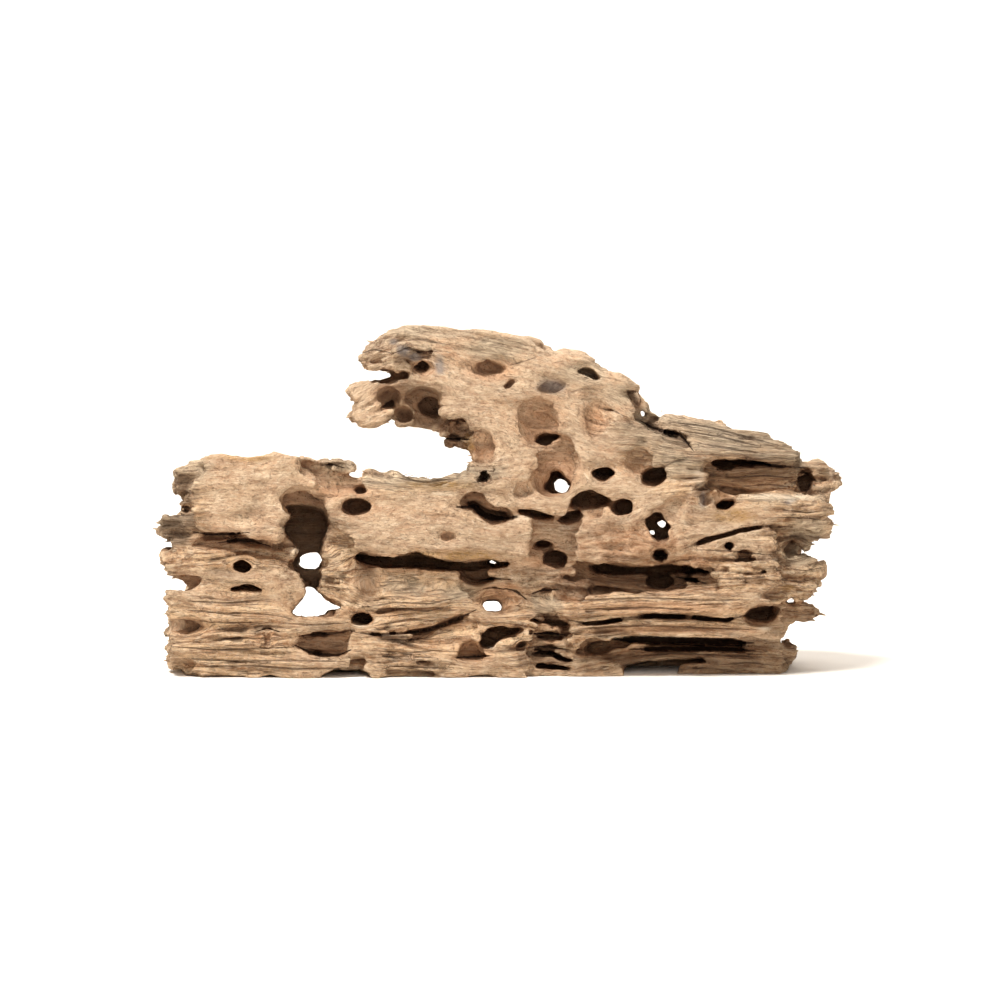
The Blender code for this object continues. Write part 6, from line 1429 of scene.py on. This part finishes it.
def wood_material():
    """Dry tan wood: streaks along the grain, red-brown hollows, weathered grey patches, pale worn edges,
    with painted shade in hollows, creases, under ledges and under layer lips, and painted highlights on lit
    lips.
    """
    make = Nodes("weathered_wood")
    grain = make.attribute("grain", "Vector")
    streak = make.noise(grain, (24.0, 2.4, 9.0), 6.0, 0.65)
    fine_streak = make.noise(grain, (8.0, 0.8, 3.0), 5.0, 0.65)
    hair = make.noise(grain, (4.5, 0.4, 1.6), 3.0, 0.6)
    blotch = make.noise(grain, (24.0, 15.0, 18.0), 4.0, 0.6)
    mottle = make.noise(grain, (4.2, 2.6, 3.4), 6.0, 0.7)
    pores = make.noise(grain, (1.5, 0.8, 1.1), 2.0)
    broad = make.noise(grain, (38.0, 17.0, 26.0), 5.0, 0.68)
    specks = make.noise(grain, (2.6, 1.1, 1.6), 4.0, 0.72)
    dashes = make.noise(grain, (9.0, 0.7, 2.0), 3.0, 0.6)
    crumbs = make.noise(grain, (5.5, 2.4, 3.4), 5.0, 0.7)
    thread = make.noise(grain, (46.0, 2.6, 9.0), 2.0, 0.5)
    ribbed = make.attribute("ribbed")
    openness = make.attribute("openness")
    crest_here = make.attribute("crest")

    lined = make.remap(ribbed, 0.0, 1.0, 0.2, 1.0)
    make.colour = make.mix(make.remap(blotch, 0.36, 0.64), srgb(195, 169, 141), srgb(176, 144, 114))
    make.coat(make.remap(broad, 0.50, 0.66, 0.0, 0.75), srgb(164, 138, 112))
    make.coat(make.remap(broad, 0.34, 0.48, 0.7, 0.0), srgb(184, 141, 107))
    make.coat(lined, make.mix(make.remap(streak, 0.38, 0.64), srgb(187, 142, 102), srgb(237, 200, 157)))
    make.coat(make.remap(mottle, 0.47, 0.70, 0.0, 0.85), srgb(211, 186, 156))
    make.coat(make.remap(mottle, 0.30, 0.46, 0.65, 0.0), srgb(138, 107, 80))
    make.coat(make.times(make.remap(fine_streak, 0.34, 0.48, 0.6, 0.0), lined), srgb(124, 90, 64))
    make.coat(make.times(make.remap(hair, 0.32, 0.44, 0.45, 0.0), lined), srgb(104, 76, 55))
    dark_specks = make.remap(specks, 0.30, 0.42, 0.8, 0.0)
    make.coat(make.times(dark_specks, make.remap(ribbed, 0.0, 1.0, 0.55, 1.0)), srgb(104, 76, 55))
    make.coat(make.remap(specks, 0.56, 0.70, 0.0, 0.7), srgb(228, 206, 178))
    make.coat(make.remap(pores, 0.30, 0.42, 0.22, 0.0), srgb(128, 98, 72))
    make.coat(make.remap(dashes, 0.28, 0.37, 0.4, 0.0), srgb(116, 86, 62))

    crumbly = make.remap(make.attribute("chunky"), 0.0, 1.0, 0.3, 1.0)
    make.coat(make.times(make.remap(crumbs, 0.38, 0.50, 0.8, 0.0), crumbly), srgb(116, 82, 58))
    make.coat(make.times(make.remap(crumbs, 0.52, 0.62, 0.0, 0.6), crumbly), srgb(232, 204, 170))
    steps = layer_shadows_and_highlights(make, mottle, blotch)
    off_middle = make.math("ABSOLUTE", make.math("SUBTRACT", thread, 0.5))
    thin_split = make.remap(off_middle, 0.006, 0.022, 0.65, 0.0)
    split = make.times(thin_split, make.remap(mottle, 0.42, 0.52), lined)
    make.coat(split, srgb(90, 62, 42))

    hollow = make.remap(openness, 0.30, 0.78, 1.0, 0.0)
    rusty = make.times(make.attribute("rust"), make.remap(mottle, 0.36, 0.6, 0.3, 0.9))
    ruddy = make.math("MAXIMUM", make.times(hollow, 0.65), rusty)
    ruddy_wood = make.mix(make.remap(streak, 0.36, 0.62), srgb(146, 98, 64), srgb(204, 150, 108))
    make.coat(make.times(ruddy, 0.7), ruddy_wood)
    # painted shade: darker the less open a place is, deep in hollows and under ledges
    make.coat(make.remap(openness, 0.05, 0.42, 0.5, 0.0), srgb(116, 74, 46))

    grey = make.times(make.attribute("grey"), make.remap(blotch, 0.3, 0.6, 0.45, 1.0))
    grey_wood = make.mix(make.remap(fine_streak, 0.36, 0.6), srgb(122, 104, 84), srgb(198, 176, 147))
    make.coat(make.times(grey, 0.85), grey_wood)
    # painted shade under ledges and in hollows, and darker patches of wood on the rear
    make.coat(make.times(make.attribute("dark_wood_and_painted_shade"), 0.6), srgb(96, 70, 50))
    make.coat(make.times(make.attribute("blue"), 0.7), srgb(120, 114, 112))
    ochre = make.times(make.attribute("ochre"), make.remap(mottle, 0.4, 0.6, 0.3, 1.0))
    make.coat(make.times(ochre, 0.7), srgb(158, 116, 54))
    # painted highlights on lit lips, and pale patches of wood on the rear
    pale_wood_and_painted_highlight = make.times(make.attribute("pale_wood_and_painted_highlight"), make.remap(streak, 0.35, 0.6, 0.2, 0.7))
    make.coat(pale_wood_and_painted_highlight, srgb(232, 212, 184))

    worn = make.times(make.remap(crest_here, 0.12, 0.42), make.remap(openness, 0.35, 0.7))
    make.coat(make.times(worn, 0.6), srgb(222, 194, 158))
    # painted shade in creases, where the surface folds inwards
    make.coat(make.remap(crest_here, -0.42, -0.08, 0.7, 0.0), srgb(84, 56, 38))
    make.coat(make.times(make.attribute("crack"), 0.75), srgb(70, 46, 30))
    frayed = make.times(make.math("SUBTRACT", mottle, 0.5), 1.6)
    off_seam = make.math("ABSOLUTE", make.plus(make.attribute("seam"), frayed))
    seam = make.times(make.remap(off_seam, 0.65, 1.0, 0.9, 0.0), make.attribute("seam_near"))
    make.coat(seam, srgb(46, 28, 17))
    make.feed(make.shader.inputs["Base Color"], make.colour)
    make.feed(make.shader.inputs["Roughness"], make.remap(mottle, 0.3, 0.7, 0.74, 0.95))
    make.shader.inputs["Specular IOR Level"].default_value = 0.2

    height = make.plus(fine_streak, make.times(hair, 0.5))
    height = make.times(height, make.remap(ribbed, 0.0, 1.0, 0.45, 1.0))
    height = make.plus(height, make.times(mottle, 1.2))
    height = make.plus(height, make.times(make.remap(pores, 0.28, 0.42), 0.5))
    height = make.math("SUBTRACT", height, split)
    height = make.plus(height, make.times(crumbs, make.times(crumbly, 1.6)))
    for step, share in zip(steps, (0.9, 0.6)):
        height = make.plus(height, make.times(step, share))
    bump = make.add("ShaderNodeBump", Height=height, Strength=1.0, Distance=2.0 * MM)
    make.feed(make.shader.inputs["Normal"], bump.outputs["Normal"])
    return make.material


def plain_material(name, colour, roughness):
    make = Nodes(name)
    make.shader.inputs["Base Color"].default_value = colour
    make.shader.inputs["Roughness"].default_value = roughness
    return make.material


def dress(obj, material):
    obj.data.materials.clear()
    obj.data.materials.append(material)
    for face in obj.data.polygons:
        face.use_smooth = True


def backdrop():
    """Floor that curves up into a wall far behind the block."""
    bm = bmesh.new()
    rows = [(FLOOR_FRONT, 0.0), (WALL_START, 0.0)]
    for step in range(1, WALL_STEPS + 1):
        angle = math.pi / 2 * step / WALL_STEPS
        rows.append((WALL_START + WALL_CURVE * math.sin(angle), WALL_CURVE * (1.0 - math.cos(angle))))
    rows.append((WALL_START + WALL_CURVE, WALL_TOP))
    lines = [[bm.verts.new((x, y, z - FLOOR_GAP)) for x in (-FLOOR_HALF, FLOOR_HALF)] for y, z in rows]
    for lower, upper in zip(lines, lines[1:]):
        bm.faces.new((lower[0], lower[1], upper[1], upper[0]))
    wall = add_object("pale_backdrop", bm)
    for face in wall.data.polygons:
        face.use_smooth = True
    wall.data.materials.append(plain_material("pale_floor", (0.86, 0.81, 0.74, 1.0), 0.9))


def studio(move):
    """Pale floor and wall, soft light from above and in front, and the eye of the drawing."""
    backdrop()
    scene = bpy.context.scene
    world = bpy.data.worlds.new("white_room")
    scene.world = world
    world.use_nodes = True
    background = world.node_tree.nodes["Background"]
    background.inputs["Color"].default_value = (1.0, 0.91, 0.82, 1.0)
    background.inputs["Strength"].default_value = 0.28

    for name, size, energy, place_at, aim in (
            ("key", 0.55, 52.0, (-0.46, -0.66, 1.6), (0.0, 0.0, 0.06)),
            ("front_fill", 1.2, 12.5, (0.2, -1.7, 0.8), (0.0, 0.0, 0.08)),
            ("wall_light", 2.0, 72.0, (0.0, 1.2, 2.6), (0.0, 2.3, 0.5))):
        light = bpy.data.lights.new(name, "AREA")
        light.size = size
        light.energy = energy
        lamp = bpy.data.objects.new(name, light)
        scene.collection.objects.link(lamp)
        lamp.location = place_at
        lamp.rotation_euler = (Vector(aim) - Vector(place_at)).to_track_quat("-Z", "Y").to_euler()

    lens = bpy.data.cameras.new("eye")
    lens.lens = CAMERA_LENS
    lens.sensor_width = SENSOR
    camera = bpy.data.objects.new("eye", lens)
    scene.collection.objects.link(camera)
    camera.location = (EYE_U * MM + move.x, move.y - EYE_DISTANCE * MM, EYE_HEIGHT * MM)
    camera.rotation_euler = Vector(CAMERA_AIM).to_track_quat("-Z", "Y").to_euler()
    scene.camera = camera
    scene.view_settings.view_transform = "Standard"
    scene.view_settings.look = "None"


def main():
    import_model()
    low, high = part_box(NODE)

    noise.seed_set(NOISE_SEED)
    wood = carved_wood()
    relief(wood, coarse=0.15, fine=0.7)
    cut_flat_base(wood)
    edit(wood, keep_largest_shell)
    decimate(wood, 1.0)
    edit(wood, add_splinters)
    mark_surface(wood, RAYS)
    move = shift_to(wood, low, high)
    dress(wood, wood_material())
    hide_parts(NODE)
    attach(wood, "root")

    studio(move)


main()
